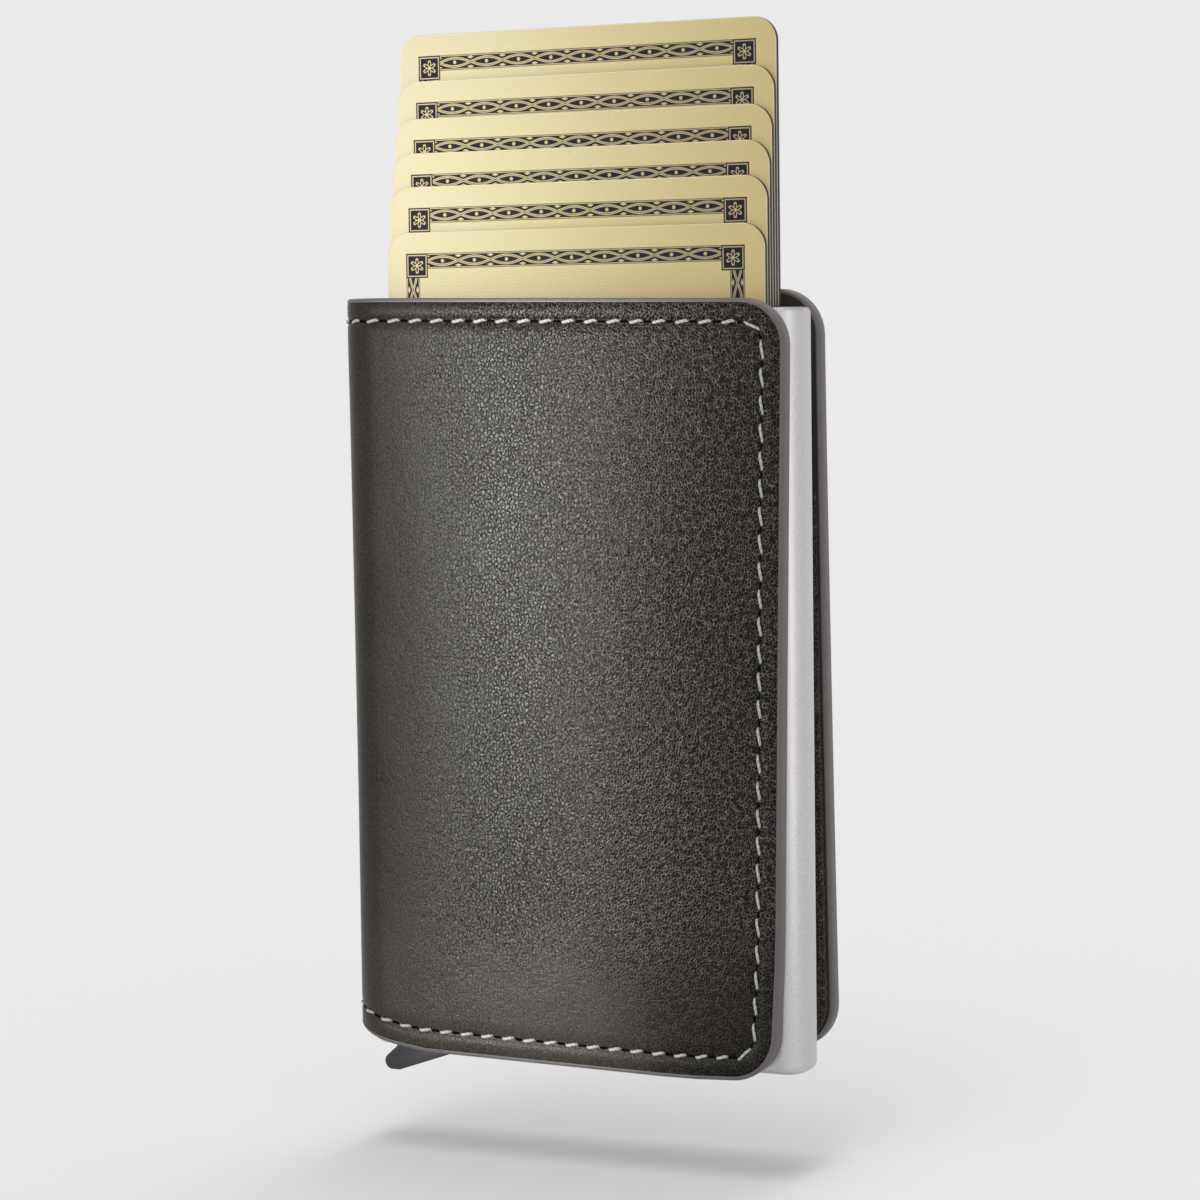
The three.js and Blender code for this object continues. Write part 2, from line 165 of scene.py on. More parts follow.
class WalletColours(bpy.types.PropertyGroup):
    leather: colour("Leather", "Ground colour of the leather", 17, 15, 13)
    crease: colour("Crease", "Lighter fine creases of the grain", 139, 131, 120)
    pocket: colour("Pocket", "Thinner leather of the pockets", 50, 46, 42)
    paint: colour("Edge paint", "Paint on the cover's edges", 102, 95, 96)
    lining: colour("Lining", "Cloth inside the cover", 40, 38, 35)
    board: colour("Board", "Stiffening board", 138, 130, 118)
    thread: colour("Thread", "Stitching", 206, 206, 204)
    hole: colour("Needle hole", "Shade inside the needle holes", 7, 6, 6)
    aluminium: colour("Aluminium", "Anodised card case", 204, 202, 204)
    steel: colour("Steel", "Lever pin", 168, 168, 170)
    lever: colour("Lever", "Moulded lever", 42, 40, 46)
    felt: colour("Felt", "Friction strips", 43, 43, 46)
    tape: colour("Tape", "Tape behind the case", 226, 222, 206)
    # These two are the ends of a painted reflection across the cards' ground: painted highlight on
    # the left, painted shade on the right
    gold: colour("Gold", "Ground of the cards on their bright side", 231, 221, 183)
    shaded_gold: colour("Deep gold", "Ground of the cards on their other side", 221, 201, 141)
    motif: colour("Motif", "Motifs of the printed border", 228, 210, 160)
    ink: colour("Ink", "Dark ground of the printed border", 27, 25, 40)
    core: colour("Card core", "Cut edge of a card", 46, 42, 52)


class WalletStage(bpy.types.PropertyGroup):
    azimuth: angle("Azimuth", "The camera's angle round the wallet", 24.891)
    elevation: angle("Elevation", "The camera's angle above the horizon", 4.033)
    roll: angle("Roll", "The camera's turn about its line of sight", -0.745)
    distance: length("Distance", "From the aim to the camera", 442.24)
    aim: bpy.props.FloatVectorProperty(
        name="Aim", description="The point that the camera looks at",
        default=(4.299 * MM, 2 * MM, 10.965 * MM), subtype="TRANSLATION", unit="LENGTH")
    lens: number("Lens", "Focal length in millimetres on a 36 mm sensor", 102.7)
    floor: length("Floor", "Height of the floor", -63)
    backdrop: number("Backdrop", "Brightness of the backdrop", 0.822, min=0, max=1)
    room: number("Room", "Brightness of the room's even light", 0.42, min=0)
    overhead: number("Overhead", "Strength of the lamp above", 1.45, min=0)


# Selecting and shaping

def clear_selection():
    """Leaves edit mode and deselects everything."""
    if bpy.context.mode != "OBJECT":
        bpy.ops.object.mode_set(mode="OBJECT")
    bpy.ops.object.select_all(action="DESELECT")


def make_active(piece):
    clear_selection()
    piece.select_set(True)
    bpy.context.view_layer.objects.active = piece


def start_edit(piece):
    make_active(piece)
    bpy.ops.object.mode_set(mode="EDIT")


def pick(piece, kind, test):
    """Selects the vertices, edges or faces of a piece in edit mode that pass a test."""
    bpy.ops.mesh.select_mode(type=kind)
    bpy.ops.mesh.select_all(action="DESELECT")
    mesh = bmesh.from_edit_mesh(piece.data)
    for part in {"VERT": mesh.verts, "EDGE": mesh.edges, "FACE": mesh.faces}[kind]:
        if test(part):
            part.select_set(True)
    bmesh.update_edit_mesh(piece.data)


def near(a, b):
    return abs(a - b) < 0.01 * MM


def level(edge, axis):
    """Whether both ends of an edge lie at one place along an axis."""
    return near(edge.verts[0].co[axis], edge.verts[1].co[axis])


def bevel(piece, test, width, steps, **settings):
    """Bevels the edges that pass a test, in edit mode."""
    pick(piece, "EDGE", test)
    bpy.ops.mesh.bevel(offset=width, segments=steps, affect="EDGES", **settings)


def slice_all(place, axis, **settings):
    """Cuts the whole mesh square to an axis, in edit mode."""
    point, normal = [0, 0, 0], [0, 0, 0]
    point[axis], normal[axis] = place, 1
    bpy.ops.mesh.select_all(action="SELECT")
    bpy.ops.mesh.bisect(plane_co=point, plane_no=normal, **settings)


def new_piece(name):
    """The primitive just added, with its place in its mesh."""
    piece = bpy.context.object
    piece.name = name
    piece.data.name = name
    bpy.ops.object.transform_apply(location=True, rotation=True, scale=True)
    return piece


def add_block(name, low, high):
    """A cube primitive stretched between two corners."""
    clear_selection()
    bpy.ops.mesh.primitive_cube_add(size=1, location=(Vector(low) + Vector(high)) / 2)
    bpy.context.object.scale = Vector(high) - Vector(low)
    return new_piece(name)


def add_sheet(name, left, right, low, high):
    """A plane primitive in X and Z that faces the front."""
    clear_selection()
    place = ((left + right) / 2, 0, (low + high) / 2)
    bpy.ops.mesh.primitive_plane_add(size=1, location=place, rotation=(math.pi / 2, 0, 0))
    bpy.context.object.scale = (right - left, high - low, 1)
    return new_piece(name)


def apply_modifier(piece, kind, **settings):
    make_active(piece)
    modifier = piece.modifiers.new(kind.title(), kind)
    for name, value in settings.items():
        setattr(modifier, name, value)
    bpy.ops.object.modifier_apply(modifier=modifier.name)


def get_points(piece):
    flat = np.empty(len(piece.data.vertices) * 3, np.float32)
    piece.data.vertices.foreach_get("co", flat)
    return flat.reshape(-1, 3).astype(float)


def set_points(piece, points):
    piece.data.vertices.foreach_set("co", np.asarray(points, np.float32).ravel())
    piece.data.update()


def push_back(piece, depth):
    """Moves the points of a piece, or each by its own depth."""
    points = get_points(piece)
    points[:, 1] += depth
    set_points(piece, points)


def lay_uv(piece, first, second, origin=(0, 0, 0), slant=0):
    """Gives a piece a UV map in millimetres along two of its axes. With a slant, the third
    axis shifts the map, so that cut edges aren't streaked."""
    layer = piece.data.uv_layers.get("flat") or piece.data.uv_layers.new(name="flat")
    points = (get_points(piece) - np.array(origin)) / MM
    corners = np.empty(len(piece.data.loops), np.int32)
    piece.data.loops.foreach_get("vertex_index", corners)
    uv = points[:, [first, second]] + slant * points[:, [3 - first - second]]
    layer.data.foreach_set("uv", uv[corners].astype(np.float32).ravel())


def smooth(piece, degrees=35):
    make_active(piece)
    bpy.ops.object.shade_smooth_by_angle(angle=math.radians(degrees))


def flip_faces(piece):
    start_edit(piece)
    bpy.ops.mesh.select_all(action="SELECT")
    bpy.ops.mesh.flip_normals()
    clear_selection()


def copy_piece(source, name):
    """A copy of a piece, with its own mesh."""
    piece = source.copy()
    piece.data = source.data.copy()
    piece.name = name
    piece.data.name = name
    bpy.context.collection.objects.link(piece)
    return piece


def dress(piece, material):
    piece.data.materials.clear()
    piece.data.materials.append(material)


def ease(share):
    """A smooth step of numbers from 0 to 1."""
    share = np.clip(share, 0, 1)
    return share * share * (3 - 2 * share)


# Shader maths

class Wire:
    """A shader value that can stand in a Python sum."""

    def __init__(self, finish, socket):
        self.finish = finish
        self.socket = socket

    def maths(self, operation, *others):
        return self.finish.node("ShaderNodeMath", {"operation": operation}, (self, *others))

    def __add__(self, other):
        return self.maths("ADD", other)

    __radd__ = __add__

    def __sub__(self, other):
        return self.maths("SUBTRACT", other)

    def __rsub__(self, other):
        return self.finish.node("ShaderNodeMath", {"operation": "SUBTRACT"}, (other, self))

    def __mul__(self, other):
        return self.maths("MULTIPLY", other)

    __rmul__ = __mul__

    def __truediv__(self, other):
        return self.maths("DIVIDE", other)

    def __abs__(self):
        return self.maths("ABSOLUTE")

    def larger(self, other):
        return self.maths("MAXIMUM", other)

    def smaller(self, other):
        return self.maths("MINIMUM", other)

    def clamped(self):
        return self.larger(0.0).smaller(1.0)

    def sine(self):
        return self.maths("SINE")

    def cosine(self):
        return self.maths("COSINE")

    def below(self, edge, softness):
        """1 where the value is below an edge, 0 above, with a soft change."""
        return self.finish.node(
            "ShaderNodeMapRange", {"interpolation_type": "SMOOTHSTEP"},
            {"Value": self, "From Min": edge - softness, "From Max": edge + softness,
             "To Min": 1.0, "To Max": 0.0})


class Finish:
    """A material, or the world, whose shader is written as sums of wires."""

    def __init__(self, name, blocks="materials"):
        self.material = getattr(bpy.data, blocks).new(name)
        self.material.use_nodes = True
        self.tree = self.material.node_tree
        self.tree.nodes.clear()

    def node(self, kind, settings=None, values=None, output=0):
        """Adds a node, sets it up, fills its sockets, and gives one output as a wire."""
        made = self.tree.nodes.new(kind)
        for name, value in (settings or {}).items():
            setattr(made, name, value)
        pairs = values.items() if isinstance(values, dict) else enumerate(values or ())
        for key, value in pairs:
            if isinstance(value, Wire):
                self.tree.links.new(value.socket, made.inputs[key])
            else:
                made.inputs[key].default_value = value
        return Wire(self, made.outputs[output]) if made.outputs else None

    def place(self):
        """Object coordinates."""
        return self.node("ShaderNodeTexCoord", output="Object")

    def flat(self):
        """The piece's own UV map, in millimetres."""
        return self.node("ShaderNodeUVMap", {"uv_map": "flat"})

    def split(self, vector):
        made = self.node("ShaderNodeSeparateXYZ", None, (vector,)).socket.node
        return [Wire(self, socket) for socket in made.outputs]

    def noise(self, vector, scale, detail=2, roughness=0.5):
        """Noise at a scale, which may differ along the three axes."""
        if isinstance(scale, tuple):
            vector, scale = self.stretch(vector, scale), 1
        return self.node("ShaderNodeTexNoise", None, {
            "Vector": vector, "Scale": scale, "Detail": detail, "Roughness": roughness})

    def stretch(self, vector, scale, turn=0):
        return self.node("ShaderNodeMapping", None, {
            "Vector": vector, "Scale": scale, "Rotation": (0, 0, turn)})

    def mix(self, factor, first, second):
        """A colour between two colours."""
        return self.node(
            "ShaderNodeMix", {"data_type": "RGBA"}, {0: factor, 6: first, 7: second}, 2)

    def shades(self, factor, name, dark, light):
        """A colour between two shades of one of the user's colours."""
        return self.mix(factor, tint(name, dark), tint(name, light))

    def cell_edges(self, vector, scale):
        """Distance from the edges of irregular cells."""
        return self.node(
            "ShaderNodeTexVoronoi", {"feature": "DISTANCE_TO_EDGE", "voronoi_dimensions": "2D"},
            {"Vector": vector, "Scale": scale})

    def bump(self, height, distance, strength=1):
        return self.node("ShaderNodeBump", None, {
            "Height": height, "Distance": distance, "Strength": strength})

    def surface(self, **values):
        """Ends the material in a principled shader."""
        sockets = {name.replace("_", " ").title(): value for name, value in values.items()}
        if "Specular Ior Level" in sockets:
            sockets["Specular IOR Level"] = sockets.pop("Specular Ior Level")
        shader = self.node("ShaderNodeBsdfPrincipled", None, sockets)
        self.node("ShaderNodeOutputMaterial", None, {"Surface": shader})
        return self.material


def tint(name, share=1):
    """One of the user's colours, or a share of it, as a shader colour with alpha."""
    shade = getattr(bpy.context.scene.wallet_colours, name)
    light = (c / 12.92 if c <= 0.04045 else ((c + 0.055) / 1.055) ** 2.4 for c in shade)
    return (*(share * c for c in light), 1)


# Materials

# Cells of the leather's grain to a millimetre: the wrinkles' net, and the pebbles
WRINKLE_CELLS = 2.5
PEBBLE_CELLS = 2.1
# Where the pebbles give way to the net of wrinkles and painted shade starts to darken the open
# side, and over how far, in millimetres
OPEN_SIDE_START, OPEN_SIDE_RUN = 6.0, 16.0
# Where the cover's grain is calm and painted lighter, as far as this place from the left and from
# below, and how far it fades into the grained part, in millimetres. The pockets have no calm part.
COVER_CALM = (-15.0, -34.0)
POCKET_CALM = (-90.0, -90.0)
CALM_SIDE_RUN, CALM_FOOT_RUN = 11.0, 10.0
# Height of the grain
COVER_GRAIN, POCKET_GRAIN = 0.02 * MM, 0.03 * MM


def leather_finish(name, ground, relief, calm_side, calm_foot):
    """Grained leather: a fine net of light wrinkles towards the open side, and small pebbles with
    dark crevices between them towards the spine, where the pebbles carry painted glints and the
    crevices painted shade. The grain is calmer over the spine and near the foot, up to the two
    places given in millimetres, and painted lighter there, while painted shade darkens the open
    side."""
    finish = Finish(name)
    flat = finish.flat()
    along, up, _ = finish.split(flat)
    # Both nets of cells, bent a little so that none of their lines is straight
    wander = finish.noise(flat, 1.7, 1) - 0.5
    sway = finish.noise(finish.stretch(flat, (1, 1, 1), 1.3), 1.5, 1) - 0.5
    shifted = finish.node(
        "ShaderNodeCombineXYZ", None, (along + wander * 0.5, up * 0.82 + sway * 0.5, 0.0))
    edge = finish.cell_edges(shifted, WRINKLE_CELLS)
    wide_edge = finish.cell_edges(shifted, PEBBLE_CELLS)
    wrinkle = edge.below(0.105, 0.105)
    crevice = wide_edge.below(0.12, 0.12)
    dome = 1 - edge.below(0.22, 0.22)
    # Uneven strength, pores, pebbles, long folds and cloudy patches
    drift = (finish.noise(flat, 1.3, 2, 0.6) - 0.5) * 2.6 + 0.6
    open_side = 1 - along.below(OPEN_SIDE_START, OPEN_SIDE_RUN)
    pores = finish.noise(flat, 3.4, 2, 0.6) - 0.5
    pebble = finish.noise(flat, (2.5, 1.9, 1.0)) - 0.5
    fold = abs(finish.noise(flat, 0.2, 3, 0.6) - 0.5).below(0.022, 0.022)
    blotch = finish.noise(flat, 0.09, 3, 0.55) - 0.5
    patch = finish.noise(flat, 0.4, 3, 0.6) - 0.5
    # Where the leather is calm
    foot = up.below(calm_foot, CALM_FOOT_RUN) * 0.9
    calm = (along + blotch * 16).below(calm_side, CALM_SIDE_RUN).larger(foot)
    lively = 1 - calm * 0.8
    # Shade, from the ground at 0 to the wrinkles' crests at 1. It holds painted light: glints on
    # the pebbles, painted shade in their crevices and over the open side, and painted light over
    # the spine and at the foot.
    lines = wrinkle * drift.larger(0.0) * (open_side * 0.86 + 0.04) + pores * 0.7
    # Painted glints on the pebbles and painted shade in the crevices between them, towards the
    # spine
    cells = (pebble + 0.1 - crevice * 0.17) * (1 - open_side * 0.8)
    # The calm part over the spine and the foot is painted lighter: painted light
    shade = (lines + cells) * lively + calm * 0.11 + foot * 0.06
    # Painted shade, darker towards the open side
    shade = shade - open_side * open_side * 0.17 + blotch * 0.12
    shade = shade.clamped()
    base = finish.mix(shade, tint(ground), tint("crease"))
    # Height, as shares of the relief
    height = dome * (open_side * 1.1 + 0.3) + pores * 0.8 + pebble - crevice * (1 - open_side) * 1.2
    height = height * (lively * 0.85 + 0.15)
    height = height + patch * 1.6 - fold * 0.5
    rough = 0.25 + patch * 0.1 + blotch * 0.1 + calm * 0.08
    return finish.surface(
        base_color=base, roughness=rough, specular_ior_level=0.105,
        normal=finish.bump(height, relief, 1.0))


def grain_finish(
        name, colour, scale, shades, rough, detail=2, harshness=0.5, depth=0, **values):
    """One colour with one grain, given by its scale, the shares of the colour in its hollows
    and on its ridges, and its roughness as start and span."""
    finish = Finish(name)
    grain = finish.noise(finish.place(), scale, detail, harshness)
    start, span = rough
    if depth:
        values["normal"] = finish.bump(grain, depth, 0.8)
    return finish.surface(
        base_color=finish.shades(grain, colour, *shades),
        roughness=grain * span + start if span else start, **values)


def fibre_finish(name, colour, scale, depth):
    """Pressed fibres, as in board and felt."""
    return grain_finish(
        name, colour, (scale, scale, scale * 0.35), (0.65, 1.3), (0.75, 0.2), 4, 0.7, depth)


def paint_finish():
    finish = Finish("edge_paint")
    place = finish.place()
    tone = finish.noise(place, 420, 3, 0.6)
    return finish.surface(
        base_color=finish.shades(tone, "paint", 0.78, 1.2), roughness=0.4 + tone * 0.15,
        normal=finish.bump(finish.noise(place, 900, 3), 0.05 * MM, 0.6))


def cloth_finish(name, colour, threads):
    """A plain weave, given as threads in a millimetre."""
    finish = Finish(name)
    flat = finish.flat()
    along, up, _ = finish.split(flat)
    turn = 2 * math.pi * threads
    weave = (along * turn).sine() * (up * turn).sine() * 0.5 + 0.5
    tone = finish.noise(flat, 1.2, 3)
    return finish.surface(
        base_color=finish.shades(weave * 0.6 + tone * 0.4, colour, 0.6, 1.35),
        roughness=0.9, sheen_weight=0.15, normal=finish.bump(weave, 0.08 * MM, 0.7))


def thread_finish():
    """Twisted thread: slanting plies along the stitch."""
    finish = Finish("thread")
    along, round_, _ = finish.split(finish.flat())
    ply = (along * 9 + round_ * 3.2).sine() * 0.5 + 0.5
    fuzz = finish.noise(finish.place(), 2600)
    return finish.surface(
        base_color=finish.shades(ply * 0.7 + fuzz * 0.3, "thread", 0.55, 1.08),
        roughness=0.6, sheen_weight=0.2, normal=finish.bump(ply, 0.08 * MM, 0.8))


def aluminium_finish():
    """Bead-blasted and anodised: a fine sparkle of grain with a soft sheen."""
    finish = Finish("anodised_aluminium")
    place = finish.place()
    blast = finish.noise(place, 5200, 2, 0.6)
    drawn = finish.noise(place, (2400, 2400, 60))
    cloud = finish.noise(place, 60)
    sparkle = (blast - 0.5) * 2.2 + 0.5
    return finish.surface(
        base_color=finish.shades(sparkle * 0.75 + cloud * 0.25, "aluminium", 0.8, 1.14),
        metallic=1.0, roughness=0.36 + blast * 0.08 + drawn * 0.06,
        normal=finish.bump(blast, 0.02 * MM, 0.6))


def lever_finish():
    """Moulded plastic with a spark-eroded texture."""
    finish = Finish("lever_plastic")
    place = finish.place()
    spark = finish.noise(place, 3200, 3, 0.6)
    tone = finish.noise(place, 120)
    return finish.surface(
        base_color=finish.shades(tone * 0.6 + spark * 0.4, "lever", 0.8, 1.25),
        roughness=0.38 + spark * 0.14, normal=finish.bump(spark, 0.03 * MM, 0.5))


# A painted highlight: the light line that a card's cut edge draws round its face
PAINTED_RIM_HIGHLIGHT = (0.9, 0.86, 0.68, 1)
# The printed border, in millimetres: side and middle of its corner squares, half the width of
# a strand and of the dark line in it, and the radius of a bead
SQUARE_SIDE, SQUARE_MIDDLE = 3.2, 1.6
STRAND, HAIRLINE, BEAD = 0.16, 0.03, 0.24
# How far the braid swings and the leaves stand off its middle, as shares of the border
SWING_SHARE, LEAF_SHARE = 0.27, 0.31
PETALS = 6
# The fine waves, in radians: lines to a millimetre of height, bends to one of width, and swing
WAVE_LINES, WAVE_BENDS, WAVE_SWING = 7, 0.9, 2.4


def card_face_finish(cards, half_width, half_height):
    """Satin gold with a dark printed border, a braid with beads between two rails and a flower in
    each corner, and fine waves inside it. The gold and the motifs carry a painted reflection,
    lighter on the left and darker on the right, and a painted highlight runs round the face's edge."""
    finish = Finish("card_print")
    flat = finish.flat()
    across, up, _ = finish.split(flat)
    margin = cards.margin / MM
    border = cards.border / MM
    from_side = half_width / MM - abs(across)
    from_end = half_height / MM - abs(up)
    from_edge = from_side.smaller(from_end)
    middle = margin + border / 2
    in_band = abs(from_edge - middle).below(border / 2, 0.06)
    # The border's own coordinates: along whichever side is nearer, and off its middle line
    on_end = (from_end - from_side).below(0.0, 0.01)
    along = across * on_end + up * (1 - on_end)
    off_line = from_edge - middle
    pitch = cards.pitch / MM
    wave = (along * (math.pi / pitch)).cosine() * (border * SWING_SHARE)
    over = abs(off_line - wave)
    under = abs(off_line + wave)
    strand = over.below(STRAND, 0.05).larger(under.below(STRAND, 0.05))
    hairline = over.below(HAIRLINE, 0.03).larger(under.below(HAIRLINE, 0.03))
    in_loop = along.maths("PINGPONG", pitch / 2)
    eye_gap = (in_loop * in_loop + off_line * off_line).maths("SQRT")
    bead = eye_gap.below(BEAD, 0.05)
    gap = pitch / 2 - in_loop
    leaf = (gap / 0.5 + abs(abs(off_line) - border * LEAF_SHARE) / 0.2).below(1.0, 0.15)
    rail = abs(abs(off_line) - (border / 2 - 0.13)).below(0.055, 0.04)
    farther = from_side.larger(from_end)
    far_side = margin + SQUARE_SIDE
    square = farther.below(far_side, 0.05)
    square = square * from_edge.smaller(margin + 4).below(far_side, 0.05)
    outside = from_edge.below(margin, 0.05)
    corner = square * (1 - outside)
    u = from_side - (margin + SQUARE_MIDDLE)
    v = from_end - (margin + SQUARE_MIDDLE)
    spread = (u * u + v * v).maths("SQRT")
    turn = u.maths("ARCTAN2", v)
    outline = (turn * PETALS).cosine() * 0.32 + 0.66
    petal = spread.below(1.0, 0.05) * abs(spread - outline).below(0.16, 0.08)
    eye = spread.below(BEAD, 0.06)
    frame_line = abs(abs(u).larger(abs(v)) - 1.36).below(0.07, 0.05)
    motif = strand - hairline + bead + leaf + rail
    band_ink = in_band * (1 - motif.clamped()) * (1 - corner)
    corner_ink = corner * (1 - (petal + eye + frame_line).smaller(1.0))
    ink_share = (band_ink + corner_ink).smaller(1.0)
    inner = from_edge.below(margin + border + 0.5, 0.05)
    sway = (across * WAVE_BENDS).sine() * WAVE_SWING
    wave_up = (up * WAVE_LINES + sway).sine()
    wave_down = (up * WAVE_LINES - sway).sine()
    waves = (abs(wave_up).below(0.3, 0.25) + abs(wave_down).below(0.3, 0.25)) * (1 - inner)
    grain = finish.noise(flat, 9, 3, 0.6)
    linen = finish.noise(flat, (14, 1.2, 1))
    # A painted reflection across the card: lighter on the left, darker on the right
    painted_reflection = (across / (half_width / MM)) * 0.5 + 0.5
    ground = finish.mix(painted_reflection * 0.95 + waves * 0.35 + (grain - 0.5) * 1.2 + (linen - 0.5),
                        tint("gold"), tint("shaded_gold"))
    # The motifs carry the same painted reflection, darker on the right
    motif_gold = finish.shades(painted_reflection, "motif", 1, 0.7)
    printed = finish.mix(in_band.larger(corner), ground, motif_gold)
    # A painted highlight round the edge of the face
    rim = from_edge.below(0.12, 0.08)
    base = finish.mix(ink_share, finish.mix(rim * 0.7, printed, PAINTED_RIM_HIGHLIGHT), tint("ink"))
    rough = 0.5 + (grain - 0.5) * 0.2
    return finish.surface(
        base_color=base, metallic=0.25 * (1 - ink_share), roughness=rough, specular_ior_level=0.2,
        coat_weight=0.06, coat_roughness=0.4,
        normal=finish.bump(grain * 0.5 + (1 - ink_share) * 0.5, 0.02 * MM, 0.5))


# The cover's blanks: flat pieces of leather, lining or board, cut to shape and then folded

# Steps of a rounded corner, rows of faces round a bend, and the rows' width elsewhere
CORNER_STEPS, BEND_ROWS, FINE_ROWS, WIDE_ROWS = 10, 14, 2.5 * MM, 5 * MM
# Share of the inner layers' depth that is pressed away round the spine, and over what run
SQUEEZED_SHARE, SQUEEZE_RUN = 0.66, 2 * MM
# The rear panel's crown, as a share of the front one's
REAR_CROWN_SHARE = 0.4
# How much higher the rear flap's open side stands, how much more at its foot, and how far
# it is drawn in
FLAP_RISE, FLAP_RISE_AT_FOOT, FLAP_DRAWN_IN = 0.4 * MM, 0.6 * MM, 0.35 * MM
# The curl of the front panel's lower open corner: start and run, from the side and down
CURL_SIDE_START, CURL_SIDE_RUN = 15 * MM, 12 * MM
CURL_FOOT_START, CURL_FOOT_RUN = 30 * MM, 18 * MM
# Where the fall of the upper edge starts, left of the middle
SLOPE_START = 25 * MM
# The spine's slump: from this height down to the foot, and from this far past the bend
SLUMP_TOP, SLUMP_HEIGHT = 41 * MM, 59 * MM
SLUMP_PAST_BEND, SLUMP_RUN = 6 * MM, 8 * MM
# The relief at the foot: from this place towards the spine, and from this height down
RELIEF_START, RELIEF_RUN = 20 * MM, 13.5 * MM
RELIEF_TOP, RELIEF_HEIGHT = 35 * MM, 9 * MM


class Cover:
    """How a flat blank is folded round the case. Blank X runs over the spine, blank Y is the
    depth from the outer face, and blank Z is the height."""

    def __init__(self, rear):
        scene = bpy.context.scene
        self.sizes = scene.wallet_cover
        self.thread = scene.wallet_thread
        self.rear = rear
        self.name = "rear" if rear else "front"
        self.reach = REAR_HIGH.x if rear else FRONT_HIGH.x
        self.bend_x = SPINE_X + self.sizes.bend
        self.arc = self.sizes.bend * math.pi / 2
        self.middle = self.bend_x - self.arc - (COVER_DEPTH / 2 - self.sizes.bend)
        self.bodies = ("spine", "rear_flap") if rear else ("case", "spine")
        self.body = "rear_flap" if rear else "case"

    def blank(self, name, inset, left=None, top=None):
        """A sheet with rounded open corners; without a left side it runs past the spine."""
        overrun = 4 * self.thread.inset
        start = self.middle - overrun if left is None else left
        high = COVER_TOP - inset if top is None else top
        piece = add_sheet(name, start, self.reach - inset, COVER_FOOT + inset, high)
        start_edit(piece)
        right = self.reach - inset
        pick(piece, "VERT", lambda vert: near(vert.co.x, right) and (top is None or vert.co.z < 0))
        bpy.ops.mesh.bevel(
            offset=self.sizes.corner - inset, segments=CORNER_STEPS, affect="VERTICES")
        return piece

    def rings(self, piece, steps):
        """Insets the whole sheet again and again, in edit mode."""
        pick(piece, "FACE", lambda face: True)
        for step in steps:
            bpy.ops.mesh.inset(thickness=step, use_even_offset=True)

    def cut_rows(self, piece, wide):
        """Cuts the sheet so that it can bend and bulge: closer at the spine."""
        if min(vert.co.x for vert in bmesh.from_edit_mesh(piece.data).verts) < self.middle - MM:
            slice_all(self.middle, 0, clear_inner=True)
        tight = self.arc / BEND_ROWS
        x = self.middle + tight
        while x < self.reach - MM:
            slice_all(x, 0)
            x += tight if x < self.bend_x + MM else wide
        z = COVER_FOOT + wide
        while z < COVER_TOP - MM:
            slice_all(z, 2)
            z += wide

    def thicken(self, piece, start, thickness):
        """Gives the sheet its thickness, inwards from a depth."""
        clear_selection()
        push_back(piece, start)
        apply_modifier(piece, "SOLIDIFY", thickness=thickness, offset=-1)

    def shape(self, piece, start, thickness, material, slot, rows=WIDE_ROWS, detail=None):
        """Makes a flat sheet, in edit mode, into a bent layer of the cover."""
        self.cut_rows(piece, rows)
        self.thicken(piece, start, thickness)
        if detail:
            detail(piece)
        self.fold(piece)
        dress(piece, material)

    def fold(self, piece):
        """Bends the finished blank round the spine and sets it as worn."""
        clear_selection()
        lay_uv(piece, 0, 2, slant=1)
        set_points(piece, self.folded(get_points(piece)))
        if self.rear:
            flip_faces(piece)
        smooth(piece)

    def folded(self, points):
        bend = self.sizes.bend
        leather = self.sizes.leather
        across, depth, up = points.T
        inner = depth - leather
        squeezed = ease((self.bend_x + SQUEEZE_RUN - across) / SQUEEZE_RUN)
        depth = np.where(inner > 0, leather + inner * (1 - SQUEEZED_SHARE * squeezed), depth)
        over = np.maximum(self.bend_x - across, 0)
        angle = np.minimum(over / bend, math.pi / 2)
        beyond = np.maximum(over - self.arc, 0)
        x = np.where(over > 0, self.bend_x - (bend - depth) * np.sin(angle), across)
        y = bend - (bend - depth) * np.cos(angle) + beyond
        z = up + self.rise(x, up) + self.sizes.lift
        share = np.clip((x - self.bend_x) / (self.reach - self.bend_x), 0, 1)
        bulge = np.clip(1 - (2 * share - 1) ** 2, 0, 1) * np.clip(1 - (up / COVER_TOP) ** 2, 0, 1)
        crown = self.sizes.crown * bulge * np.clip(1 - depth / leather, 0, 1)
        y = y - crown * (REAR_CROWN_SHARE if self.rear else 1)
        x = x + self.slump(x, up)
        if self.rear:
            low = 0.5 - up / (COVER_TOP - COVER_FOOT)
            y = COVER_DEPTH - y + self.sizes.spread * np.clip(low, 0, 2) ** 1.3 * share
            z = z + (FLAP_RISE + FLAP_RISE_AT_FOOT * low) * share
            x = x - FLAP_DRAWN_IN * share
        else:
            corner = ease((x - self.reach + CURL_SIDE_START) / CURL_SIDE_RUN)
            corner = corner * ease((-up - CURL_FOOT_START) / CURL_FOOT_RUN)
            z = z - self.sizes.slope * np.maximum(x + SLOPE_START, 0) + self.sizes.curl * corner
            x = x + self.sizes.lean * up * share - self.sizes.curl * corner
        return np.stack([x, y, z], axis=1)

    def slump(self, x, up):
        """The lower spine leans in towards the case."""
        share = np.clip((SLUMP_TOP - up) / SLUMP_HEIGHT, 0, 1) ** 0.6
        from_bend = self.bend_x + SLUMP_PAST_BEND - x
        return self.sizes.slump * share * ease(from_bend / SLUMP_RUN)

